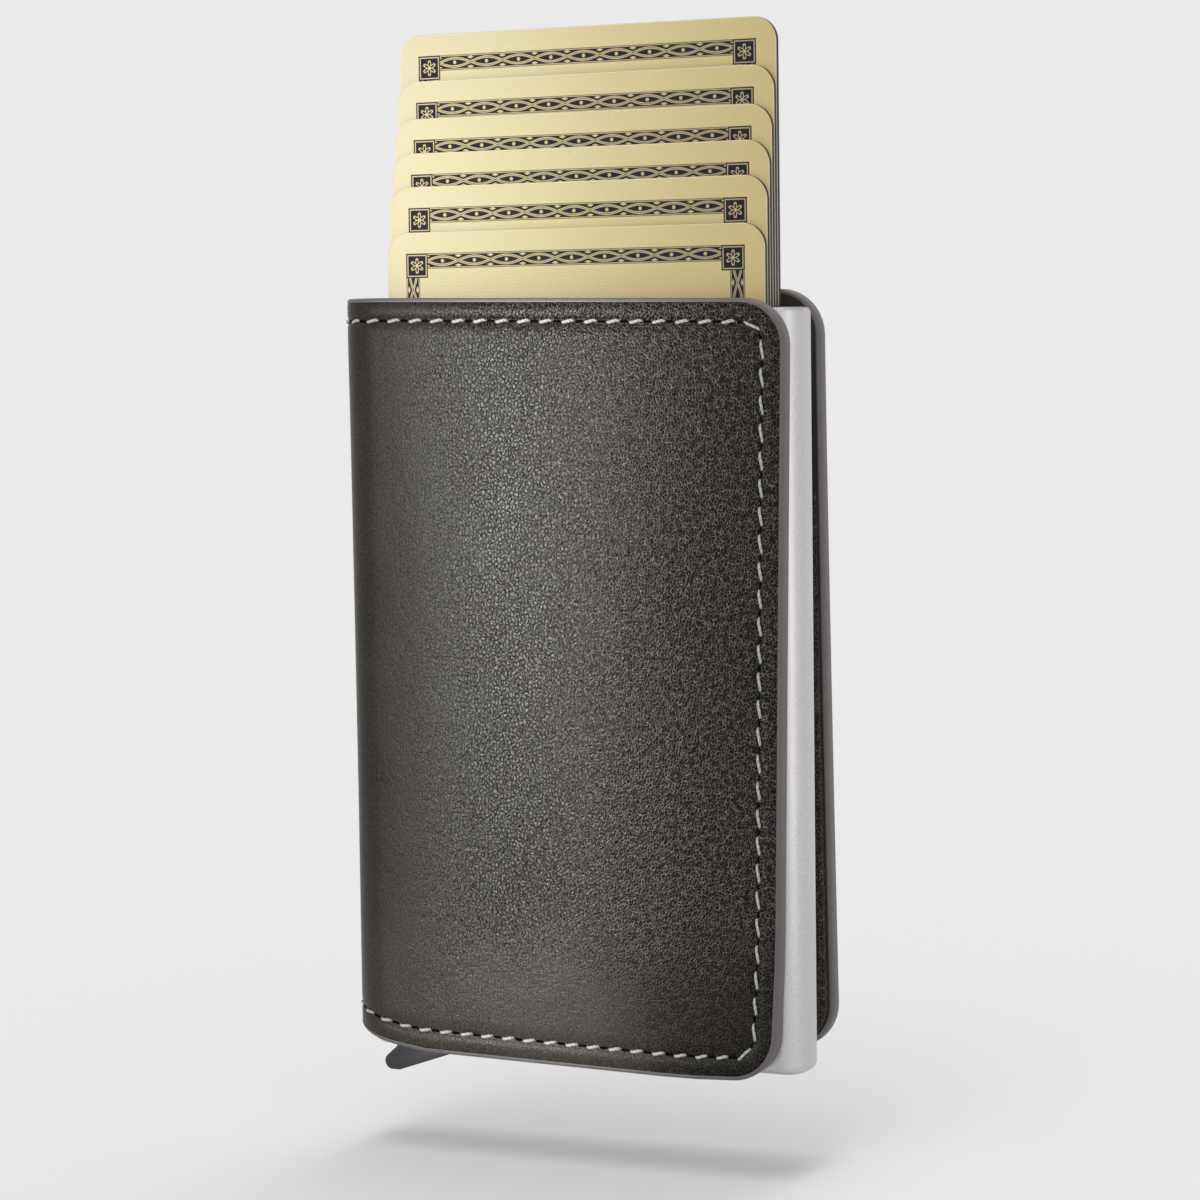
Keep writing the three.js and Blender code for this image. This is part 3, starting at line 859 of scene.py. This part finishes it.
    def rise(self, x, up):
        """The foot's rise towards the spine."""
        share = np.clip((-RELIEF_START - x) / RELIEF_RUN, 0, 1)
        low = ease((-up - RELIEF_TOP) / RELIEF_HEIGHT)
        return self.sizes.relief * share ** 1.9 * low

    def nodes(self, kind):
        """The CAD nodes that one half of a layer stands for; the front half has the spine."""
        panel = f"{self.name}_cover_{kind}"
        return [panel] if self.rear else [panel, f"spine_{kind}"]

    def join(self, piece):
        """Bakes the piece's place into its mesh."""
        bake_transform(piece)

    def from_edge(self, points):
        """How far points of the blank lie inside its edge."""
        across, _, up = points.T
        corner = self.sizes.corner
        u = across - (self.reach - corner)
        v = np.abs(up) - (COVER_TOP - corner)
        both = (u > 0) & (v > 0)
        return np.where(both, corner - np.hypot(u, v), corner - np.maximum(u, v))

    def stitch_line(self):
        """Needle holes and stitches on the line, as (blank X, blank Z, heading, in a row)."""
        inset = self.thread.inset
        radius = self.sizes.corner - inset
        right = self.reach - inset - radius
        high = COVER_TOP - inset - radius
        low = COVER_FOOT + inset + radius
        quarter = radius * math.pi / 2
        row = right - self.middle
        side = 2 * quarter + high - low

        def place(distance):
            if distance < row:
                return self.middle + distance, high + radius, 0
            distance -= row
            if distance < quarter:
                turn = distance / radius
                return right + radius * math.sin(turn), high + radius * math.cos(turn), -turn
            if distance < side - quarter:
                return right + radius, high - (distance - quarter), -math.pi / 2
            distance -= side - quarter
            if distance < quarter:
                turn = distance / radius
                return (right + radius * math.cos(turn), low - radius * math.sin(turn),
                        -math.pi / 2 - turn)
            return right - (distance - quarter), low - radius, -math.pi

        holes, stitches = [], []
        start = 0
        for length, pitch, in_row in (
                (row, self.thread.row_pitch, True), (side, self.thread.pitch, False),
                (row, self.thread.row_pitch, True)):
            count = round(length / pitch)
            for index in range(count):
                holes.append((*place(start + index * length / count), in_row))
                stitches.append((*place(start + (index + 0.5) * length / count), in_row))
            start += length
        return holes[1:], stitches


# Pieces

# The leather's eased rim, and the groove for the thread, with the rings of faces across it
RIM_WIDTH, RIM_DEPTH = 0.25 * MM, 0.12 * MM
GROOVE_HALF = 0.75 * MM
GROOVE_STEPS = (0.35 * MM, 0.4 * MM, 0.4 * MM, 0.35 * MM)
# Rounding of the painted edge and of a pocket's mouth
PAINT_ROUND, POCKET_ROUND = 0.5 * MM, 0.18 * MM
# A stitch: half its length as a share of the pitch, how much thinner its ends are, how deep
# they dip, its sway, and its stretch along and across the line in the rows
STITCH_SHARE, STITCH_THINNER, STITCH_DIP, STITCH_SWAY = 0.385, 0.35, 0.4 * MM, 0.05 * MM
STITCH_IN_ROW = (0.74, 1.1)
# A needle hole: radius, stretch, width of its wall, depth, its place as a share of the
# groove's depth, and its stretch in the rows
HOLE_RADIUS, HOLE_STRETCH, HOLE_WALL, HOLE_DEPTH = 0.3 * MM, 1.15, 0.07 * MM, 0.04 * MM
HOLE_IN_GROOVE = 0.6
HOLE_IN_ROW = (1.7, 0.75)
# The slot for the lever's tab: right end and top, from the pin, and its sill over the floor
SLOT_REACH, SLOT_RISE, SLOT_SILL = 9.73 * MM, 0.85 * MM, 0.55 * MM
# The lever's tab: how far under the pin it starts, how it is set as worn, and its soft edges
TAB_START = 3.6 * MM
TAB_SHIFT = (1.2 * MM, 0, 0.6 * MM)
LEVER_ROUND = 0.22 * MM


class WALLET_OT_cover_leather(bpy.types.Operator):
    """Cuts the front and rear leather, grooves it for the thread and folds it round the spine"""
    bl_idname = "wallet.cover_leather"
    bl_label = "Cover leather"

    def execute(self, context):
        material = leather_finish("grained_leather", "leather", COVER_GRAIN, *COVER_CALM)
        for rear in (False, True):
            self.make(Cover(rear), material)
        return {"FINISHED"}

    def make(self, cover, material):
        sizes = cover.sizes
        to_groove = cover.thread.inset - sizes.edge - RIM_WIDTH - GROOVE_HALF
        piece = cover.blank(f"{cover.name}_leather_sheet", sizes.edge)
        cover.rings(piece, [RIM_WIDTH, to_groove, *GROOVE_STEPS])
        clear_selection()
        push_back(piece, self.groove(cover, get_points(piece)))
        start_edit(piece)
        cover.shape(piece, 0, sizes.leather, material, "leather", FINE_ROWS)
        cover.join(piece)
        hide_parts(*cover.nodes("leather"))

    def groove(self, cover, points):
        """Depth of the leather's face: a groove along the stitch line and an eased rim."""
        from_edge = cover.from_edge(points)
        near_line = 1 - np.abs(from_edge - cover.thread.inset) / GROOVE_HALF
        rim = 1 - (from_edge - cover.sizes.edge) / RIM_WIDTH
        return cover.thread.groove * ease(near_line) + RIM_DEPTH * np.clip(rim, 0, 1) ** 2


class WALLET_OT_cover_lining(bpy.types.Operator):
    """Lines both panels and the spine with cloth"""
    bl_idname = "wallet.cover_lining"
    bl_label = "Cover lining"

    def execute(self, context):
        material = cloth_finish("lining_cloth", "lining", 2.2)
        for rear in (False, True):
            cover = Cover(rear)
            piece = cover.blank(f"{cover.name}_lining_sheet", cover.sizes.edge)
            thickness = LINING_HIGH.y - LINING_LOW.y
            cover.shape(piece, LINING_LOW.y, thickness, material, "lining", FINE_ROWS)
            cover.join(piece)
            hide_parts(*cover.nodes("lining"))
        return {"FINISHED"}


class WALLET_OT_cover_edge(bpy.types.Operator):
    """Paints the cover's edges: a rounded band over leather, board and lining"""
    bl_idname = "wallet.cover_edge"
    bl_label = "Painted edges"

    def execute(self, context):
        material = paint_finish()
        for rear in (False, True):
            cover = Cover(rear)
            edge = cover.sizes.edge
            piece = cover.blank(f"{cover.name}_edge_paint", 0)
            cover.rings(piece, [edge])
            pick(piece, "FACE", lambda face: len(face.verts) > 4)
            bpy.ops.mesh.delete(type="FACE")
            cover.shape(piece, 0, LINING_HIGH.y, material, None,
                        detail=lambda band: self.round_rim(cover, band))
            smooth(piece, 60)
            cover.join(piece)
        return {"FINISHED"}

    def round_rim(self, cover, piece):
        """Rounds the outer long edges of the band."""
        start_edit(piece)

        def outer(edge):
            ends = np.array([vert.co[:] for vert in edge.verts])
            flush = np.abs(cover.from_edge(ends)) < 0.02 * MM
            cut = abs(ends[:, 0] - cover.middle).max() < 0.01 * MM
            return bool(flush.all()) and level(edge, 1) and not cut

        bevel(piece, outer, PAINT_ROUND, 4, clamp_overlap=True)
        clear_selection()


class WALLET_OT_cover_boards(bpy.types.Operator):
    """Stiffens both panels with board"""
    bl_idname = "wallet.cover_boards"
    bl_label = "Stiffening boards"

    def execute(self, context):
        material = fibre_finish("board", "board", 900, 0.05 * MM)
        for rear in (False, True):
            cover = Cover(rear)
            inset = cover.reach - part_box(f"{cover.name}_cover_board")[1].x
            piece = cover.blank(f"{cover.name}_board", inset, left=cover.bend_x + inset)
            cover.shape(piece, BOARD_LOW.y, BOARD_HIGH.y - BOARD_LOW.y, material, "board")
            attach(piece, cover.body)
            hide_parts(f"{cover.name}_cover_board")
        return {"FINISHED"}


class WALLET_OT_stitching(bpy.types.Operator):
    """Stitches both panels: one thread loop copied along the line, over needle holes darkened with
    painted shade
    """
    bl_idname = "wallet.stitching"
    bl_label = "Stitching"

    def execute(self, context):
        thread = thread_finish()
        hole = grain_finish(
            "needle_hole", "hole", 1500, (0.5, 1.5), (0.85, 0), specular_ior_level=0.05)
        for rear in (False, True):
            cover = Cover(rear)
            holes, stitches = cover.stitch_line()
            line = self.copy_along(
                self.model_stitch(cover), stitches, cover.thread.slant, STITCH_IN_ROW,
                f"{cover.name}_stitches")
            cover_line(cover, line, thread)
            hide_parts(f"{cover.name}_cover_thread")
            cups = self.copy_along(
                self.model_hole(cover), holes, 0, HOLE_IN_ROW, f"{cover.name}_needle_holes")
            cover_line(cover, cups, hole)
        return {"FINISHED"}

    def model_stitch(self, cover):
        """A loop of thread that dips into the leather at both ends."""
        radius = cover.thread.radius
        half = cover.thread.pitch * STITCH_SHARE
        clear_selection()
        bpy.ops.mesh.primitive_cylinder_add(
            vertices=8, radius=radius, depth=2 * half, rotation=(0, math.pi / 2, 0))
        piece = new_piece("stitch")
        start_edit(piece)
        for step in range(-3, 4):
            slice_all(step * half / 4, 0)
        clear_selection()
        points = get_points(piece)
        share = np.abs(points[:, 0]) / half
        thin = 1 - STITCH_THINNER * share ** 3
        angle = np.arctan2(points[:, 2], points[:, 1])
        around = np.stack([points[:, 0], angle * radius, points[:, 2]], axis=1)
        sway = np.sin(points[:, 0] / half * math.pi)
        points[:, 1] = points[:, 1] * thin + STITCH_DIP * share ** 4
        points[:, 2] = points[:, 2] * thin + STITCH_SWAY * sway
        set_points(piece, around)
        lay_uv(piece, 0, 1)
        set_points(piece, points)
        return piece

    def model_hole(self, cover):
        """A shallow oval cup, dark with painted shade for the inside of the hole."""
        clear_selection()
        bpy.ops.mesh.primitive_circle_add(
            vertices=12, radius=HOLE_RADIUS, fill_type="NGON", rotation=(math.pi / 2, 0, 0))
        bpy.context.object.scale = (HOLE_STRETCH, 1, 1)
        piece = new_piece("needle_hole")
        start_edit(piece)
        pick(piece, "FACE", lambda face: True)
        bpy.ops.mesh.inset(thickness=HOLE_WALL)
        bpy.ops.transform.translate(value=(0, HOLE_DEPTH, 0))
        clear_selection()
        push_back(piece, cover.thread.groove * HOLE_IN_GROOVE)
        lay_uv(piece, 0, 2)
        return piece

    def copy_along(self, model, places, slant, row_scale, name):
        """Copies a model to each place and heading, and joins the copies. In the rows the
        copies are stretched along and across the line."""
        copies = []
        for x, z, heading, in_row in places:
            copy = copy_piece(model, name)
            along, across = row_scale if in_row else (1, 1)
            turn = Matrix.Rotation(-(heading + slant), 4, "Y")
            size = Matrix.Diagonal((along, 1, across, 1))
            copy.data.transform(Matrix.Translation((x, 0, z)) @ turn @ size)
            copies.append(copy)
        bpy.data.objects.remove(model)
        make_active(copies[0])
        for copy in copies:
            copy.select_set(True)
        bpy.ops.object.join()
        return bpy.context.object


def cover_line(cover, piece, material):
    """Folds small pieces that lie along the cover, keeping their own UV maps."""
    clear_selection()
    set_points(piece, cover.folded(get_points(piece)))
    if cover.rear:
        flip_faces(piece)
    smooth(piece, 60)
    dress(piece, material)
    cover.join(piece)


class WALLET_OT_pockets(bpy.types.Operator):
    """Sets two card pockets on the inside of the rear flap"""
    bl_idname = "wallet.pockets"
    bl_label = "Pockets"

    def execute(self, context):
        material = leather_finish("pocket_leather", "pocket", POCKET_GRAIN, *POCKET_CALM)
        cover = Cover(True)
        for node in ("upper_pocket", "lower_pocket"):
            low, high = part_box(node)
            inset = cover.reach - high.x
            piece = cover.blank(f"{node}_leather", inset, left=cover.bend_x + inset, top=high.z)
            cover.shape(piece, COVER_DEPTH - high.y, high.y - low.y, material, "leather",
                        detail=lambda sheet: self.soften_mouth(sheet, high.z))
            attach(piece, "rear_flap")
            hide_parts(node)
        return {"FINISHED"}

    def soften_mouth(self, piece, top):
        start_edit(piece)
        bevel(piece, lambda edge: all(near(vert.co.z, top) for vert in edge.verts)
              and level(edge, 1), POCKET_ROUND, 3)
        clear_selection()


class WALLET_OT_card_case(bpy.types.Operator):
    """Forms the card case: a flat can with rounded corners, a bevelled mouth and a lever slot"""
    bl_idname = "wallet.card_case"
    bl_label = "Card case"

    def execute(self, context):
        metal = context.scene.wallet_metal
        top = CASE_HIGH - Vector((0, 0, metal.mouth))
        piece = add_block("aluminium_case", CASE_LOW, top)
        start_edit(piece)
        bevel(piece, lambda edge: not level(edge, 2), metal.corner, 14)
        pick(piece, "FACE", lambda face: face.normal.z > 0.9)
        bpy.ops.mesh.inset(thickness=metal.wall, use_even_offset=True)
        depth = top.z - CASE_LOW.z - metal.floor
        bpy.ops.mesh.extrude_region_move(TRANSFORM_OT_translate={"value": (0, 0, -depth)})
        self.bevel_level(piece, top.z, metal.rim, 2)
        self.bevel_level(piece, CASE_LOW.z, metal.foot, 7)
        clear_selection()
        self.cut(piece, self.slot_cutter(metal))
        self.cut(piece, self.bore_cutter(metal))
        smooth(piece, 32)
        dress(piece, aluminium_finish())
        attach(piece, "case")
        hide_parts("card_case")
        return {"FINISHED"}

    def bevel_level(self, piece, height, width, steps):
        """Bevels every edge that lies at one height, in edit mode."""
        bevel(piece, lambda edge: all(near(vert.co.z, height) for vert in edge.verts),
              width, steps)

    def slot_cutter(self, metal):
        """A block with a slanting top that opens the lower left corner for the lever's tab."""
        inner_low = CASE_LOW.y + metal.wall
        inner_high = CASE_HIGH.y - metal.wall
        right = PIVOT.x + SLOT_REACH
        top = PIVOT.z + SLOT_RISE
        cutter = add_block(
            "slot_cutter", (CASE_LOW.x - MM, inner_low, CASE_LOW.z - MM), (right, inner_high, top))
        start_edit(cutter)
        pick(cutter, "VERT", lambda vert: near(vert.co.x, right) and near(vert.co.z, top))
        fall = top - (CASE_LOW.z + metal.floor + SLOT_SILL)
        bpy.ops.transform.translate(value=(0, 0, -fall))
        clear_selection()
        return cutter

    def bore_cutter(self, metal):
        clear_selection()
        middle = (CASE_LOW.y + CASE_HIGH.y) / 2
        bpy.ops.mesh.primitive_cylinder_add(
            vertices=32, radius=metal.bore, depth=CASE_HIGH.y - CASE_LOW.y + 2 * MM,
            location=(PIVOT.x, middle, PIVOT.z), rotation=(math.pi / 2, 0, 0))
        return new_piece("bore_cutter")

    def cut(self, piece, cutter):
        apply_modifier(piece, "BOOLEAN", object=cutter, operation="DIFFERENCE", solver="EXACT")
        bpy.data.objects.remove(cutter)


class WALLET_OT_cards(bpy.types.Operator):
    """Prints and cuts one card, and copies it to each place in the fan"""
    bl_idname = "wallet.cards"
    bl_label = "Cards"

    def execute(self, context):
        cards = context.scene.wallet_cards
        low, high = FRONT_CARD_LOW, FRONT_CARD_HIGH
        model = add_block("card_model", low, high)
        start_edit(model)
        bevel(model, lambda edge: not level(edge, 1), cards.corner, 12)
        bevel(model, lambda edge: level(edge, 1), cards.edge, 2)
        clear_selection()
        lay_uv(model, 0, 2, (low + high) / 2)
        smooth(model, 50)
        half = (high - low) / 2
        core = grain_finish(
            "card_core", "core", (300, 5200, 300), (0.6, 1.3), (0.55, 0), specular_ior_level=0.3)
        dress(model, card_face_finish(cards, half.x, half.z))
        model.data.materials.append(core)
        for polygon in model.data.polygons:
            polygon.material_index = 0 if abs(polygon.normal.y) > 0.9 else 1
        for node in CARD_NODES:
            self.place(model, node, low)
        bpy.data.objects.remove(model)
        return {"FINISHED"}

    def place(self, model, node, start):
        piece = copy_piece(model, f"printed_{node}")
        piece.data.transform(Matrix.Translation(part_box(node)[0] - start))
        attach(piece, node)
        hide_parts(node)


class WALLET_OT_ejector_lever(bpy.types.Operator):
    """Softens the edges of the moulded lever"""
    bl_idname = "wallet.ejector_lever"
    bl_label = "Ejector lever"

    def execute(self, context):
        piece = copy_piece(frame["nodes"]["ejector_lever"], "moulded_lever")
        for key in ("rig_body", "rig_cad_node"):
            del piece[key]
        piece.parent = None
        start_edit(piece)
        bpy.ops.mesh.select_all(action="SELECT")
        bpy.ops.mesh.remove_doubles(threshold=0.001 * MM)
        bpy.ops.mesh.dissolve_limited(angle_limit=math.radians(1))
        clear_selection()
        points = get_points(piece)
        under = np.clip((PIVOT.z - TAB_START - points[:, 2]) / MM, 0, 1)
        points += under[:, None] * np.array(TAB_SHIFT)
        set_points(piece, points)
        apply_modifier(
            piece, "BEVEL", width=LEVER_ROUND, segments=3, limit_method="ANGLE",
            angle_limit=math.radians(40), miter_outer="MITER_ARC")
        smooth(piece, 35)
        dress(piece, lever_finish())
        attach(piece, "lever")
        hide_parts("ejector_lever")
        return {"FINISHED"}


class WALLET_OT_inner_parts(bpy.types.Operator):
    """Gives the tape, the friction strips and the lever's pin their finishes"""
    bl_idname = "wallet.inner_parts"
    bl_label = "Inner parts"

    def execute(self, context):
        felt = fibre_finish("felt", "felt", 2400, 0.1 * MM)
        finishes = {
            "mounting_tape": grain_finish(
                "tape", "tape", (150, 150, 700), (0.88, 1.04), (0.5, 0.2)),
            "front_friction_strip": felt,
            "rear_friction_strip": felt,
            "lever_pivot_pin": grain_finish(
                "ground_steel", "steel", (900, 4000, 900), (0.85, 1.1), (0.25, 0.15),
                metallic=1.0),
        }
        for node, material in finishes.items():
            dress(frame["nodes"][node], material)
        return {"FINISHED"}


# Shares of the light from above, by their lean towards the back in degrees, and the width of
# each in degrees
OVERHEAD_SHARES = {-36: 0.1, -20: 0.19, -7: 0.21, 7: 0.21, 20: 0.19, 36: 0.1}
SUN_WIDTH = 18
# Lamps: place, point that they face and size, in millimetres, spread in degrees, and power
STRIPS = {
    "card_strip": ((-120, -190, 78), (-32, 0, 72), (16, 60), 26, 0.005),
    "left_strip": ((-80, -135, 8), (-4, 0, 8), (12, 130), 22, 0.0163),
    "right_panel": ((260, -150, 60), (0, 5, 0), (120, 240), 180, 0.11),
    "rear_strip": ((50, 180, 10), (0, 5, 0), (30, 150), 180, 0.004),
}
FLOOR_GREY = 0.8
WHITE = (1, 1, 1, 1)


class WALLET_OT_stage(bpy.types.Operator):
    """Sets the floor, the backdrop, the lamps and the camera"""
    bl_idname = "wallet.stage"
    bl_label = "Stage"

    def execute(self, context):
        stage = context.scene.wallet_stage
        context.scene.view_settings.view_transform = "Standard"
        floor = self.add_floor(stage)
        self.light_world(context.scene, stage)
        self.add_lamps(floor, stage)
        self.add_camera(context.scene, stage)
        return {"FINISHED"}

    def seen_directly(self, finish):
        """1 for the camera, mirrors and glass, 0 for light that falls on the wallet."""
        path = finish.node("ShaderNodeLightPath").socket.node
        camera, mirror, glass = (
            Wire(finish, path.outputs[f"Is {kind} Ray"])
            for kind in ("Camera", "Glossy", "Transmission"))
        return camera.larger(mirror).larger(glass)

    def add_floor(self, stage):
        clear_selection()
        bpy.ops.mesh.primitive_grid_add(
            x_subdivisions=4, y_subdivisions=4, size=6, location=(0, 0, stage.floor))
        floor = new_piece("studio_floor")
        finish = Finish("studio_floor")
        upright = sum(
            share * math.cos(math.radians(lean)) for lean, share in OVERHEAD_SHARES.items())
        lit = FLOOR_GREY * (stage.room + stage.overhead * upright / math.pi)
        matt = finish.node("ShaderNodeBsdfDiffuse", None, {"Color": (*[FLOOR_GREY] * 3, 1)})
        glow = finish.node(
            "ShaderNodeEmission", None, {"Color": WHITE, "Strength": stage.backdrop - lit})
        both = finish.node("ShaderNodeAddShader", None, (matt, glow))
        direct = self.seen_directly(finish)
        mixed = finish.node("ShaderNodeMixShader", None, (direct, matt, both))
        finish.node("ShaderNodeOutputMaterial", None, {"Surface": mixed})
        dress(floor, finish.material)
        return floor

    def light_world(self, scene, stage):
        finish = Finish("studio", "worlds")
        scene.world = finish.material
        room, backdrop = (
            finish.node("ShaderNodeBackground", None, {"Color": WHITE, "Strength": strength})
            for strength in (stage.room, stage.backdrop))
        direct = self.seen_directly(finish)
        mixed = finish.node("ShaderNodeMixShader", None, (direct, room, backdrop))
        finish.node("ShaderNodeOutputWorld", None, {"Surface": mixed})

    def add_lamps(self, floor, stage):
        printed = [
            piece for piece in bpy.context.scene.objects if piece.name.startswith("printed_")]
        only_cards = bpy.data.collections.new("cards_only")
        for piece in printed:
            only_cards.objects.link(piece)
        left_lit = self.spare("floor_and_cards", [floor, *printed])
        all_but_floor = self.spare("floor_only", [floor])
        lit = {"card_strip": only_cards, "left_strip": left_lit}
        for name, (place, aim, size, spread, power) in STRIPS.items():
            lamp = self.add_lamp(
                "AREA", name, power, Vector(place) - Vector(aim), shape="RECTANGLE",
                size=size[0] * MM, size_y=size[1] * MM, spread=math.radians(spread))
            lamp.location = Vector(place) * MM
            lamp.visible_camera = False
            lamp.light_linking.receiver_collection = lit.get(name, all_but_floor)
        for lean, share in OVERHEAD_SHARES.items():
            turn = math.radians(lean)
            self.add_lamp(
                "SUN", "overhead", stage.overhead * share, (0, math.sin(turn), math.cos(turn)),
                angle=math.radians(SUN_WIDTH))

    def spare(self, name, pieces):
        """A collection of pieces that a lamp leaves unlit."""
        spared = bpy.data.collections.new(name)
        for piece in pieces:
            spared.objects.link(piece)
        for linked in spared.collection_objects:
            linked.light_linking.link_state = "EXCLUDE"
        return spared

    def add_lamp(self, kind, name, power, away, **settings):
        """A lamp that stands in a direction and shines back along it."""
        lamp = bpy.data.lights.new(name, kind)
        lamp.energy = power
        for key, value in settings.items():
            setattr(lamp, key, value)
        holder = bpy.data.objects.new(name, lamp)
        bpy.context.collection.objects.link(holder)
        holder.rotation_euler = Vector(away).to_track_quat("Z", "Y").to_euler()
        return holder

    def add_camera(self, scene, stage):
        data = bpy.data.cameras.new("camera")
        data.sensor_width = 36
        data.lens = stage.lens
        data.clip_start = 0.01
        data.clip_end = 20
        camera = bpy.data.objects.new("camera", data)
        bpy.context.collection.objects.link(camera)
        turn = (Matrix.Rotation(stage.azimuth, 4, "Z")
                @ Matrix.Rotation(math.pi / 2 - stage.elevation, 4, "X"))
        back = turn @ Vector((0, 0, stage.distance))
        place = Matrix.Translation(Vector(stage.aim) + back)
        camera.matrix_world = place @ turn @ Matrix.Rotation(stage.roll, 4, "Z")
        scene.camera = camera


class WALLET_PT_panel(bpy.types.Panel):
    """Lists the wallet's pieces, sizes and colours"""
    bl_idname = "WALLET_PT_panel"
    bl_label = "Slim card wallet"
    bl_space_type = "VIEW_3D"
    bl_region_type = "UI"
    bl_category = "Wallet"

    def draw(self, context):
        layout = self.layout
        for operator in OPERATORS:
            layout.operator(operator.bl_idname)
        for name, group in GROUPS.items():
            box = layout.box()
            settings = getattr(context.scene, name)
            for key in group.__annotations__:
                box.prop(settings, key)


GROUPS = {
    "wallet_cover": WalletCover,
    "wallet_thread": WalletThread,
    "wallet_metal": WalletMetalwork,
    "wallet_cards": WalletCards,
    "wallet_colours": WalletColours,
    "wallet_stage": WalletStage,
}

OPERATORS = (
    WALLET_OT_cover_leather,
    WALLET_OT_cover_lining,
    WALLET_OT_cover_edge,
    WALLET_OT_cover_boards,
    WALLET_OT_stitching,
    WALLET_OT_pockets,
    WALLET_OT_card_case,
    WALLET_OT_cards,
    WALLET_OT_ejector_lever,
    WALLET_OT_inner_parts,
    WALLET_OT_stage,
)


def register():
    for group in (*GROUPS.values(), *OPERATORS, WALLET_PT_panel):
        bpy.utils.register_class(group)
    for name, group in GROUPS.items():
        setattr(bpy.types.Scene, name, bpy.props.PointerProperty(type=group))


def unregister():
    for name in GROUPS:
        delattr(bpy.types.Scene, name)
    for group in (WALLET_PT_panel, *OPERATORS, *GROUPS.values()):
        bpy.utils.unregister_class(group)


def main():
    register()
    bpy.ops.wallet.cover_leather()
    bpy.ops.wallet.cover_lining()
    bpy.ops.wallet.cover_edge()
    bpy.ops.wallet.cover_boards()
    bpy.ops.wallet.stitching()
    bpy.ops.wallet.pockets()
    bpy.ops.wallet.card_case()
    bpy.ops.wallet.cards()
    bpy.ops.wallet.ejector_lever()
    bpy.ops.wallet.inner_parts()
    bpy.ops.wallet.stage()


if __name__ == "__main__":
    main()
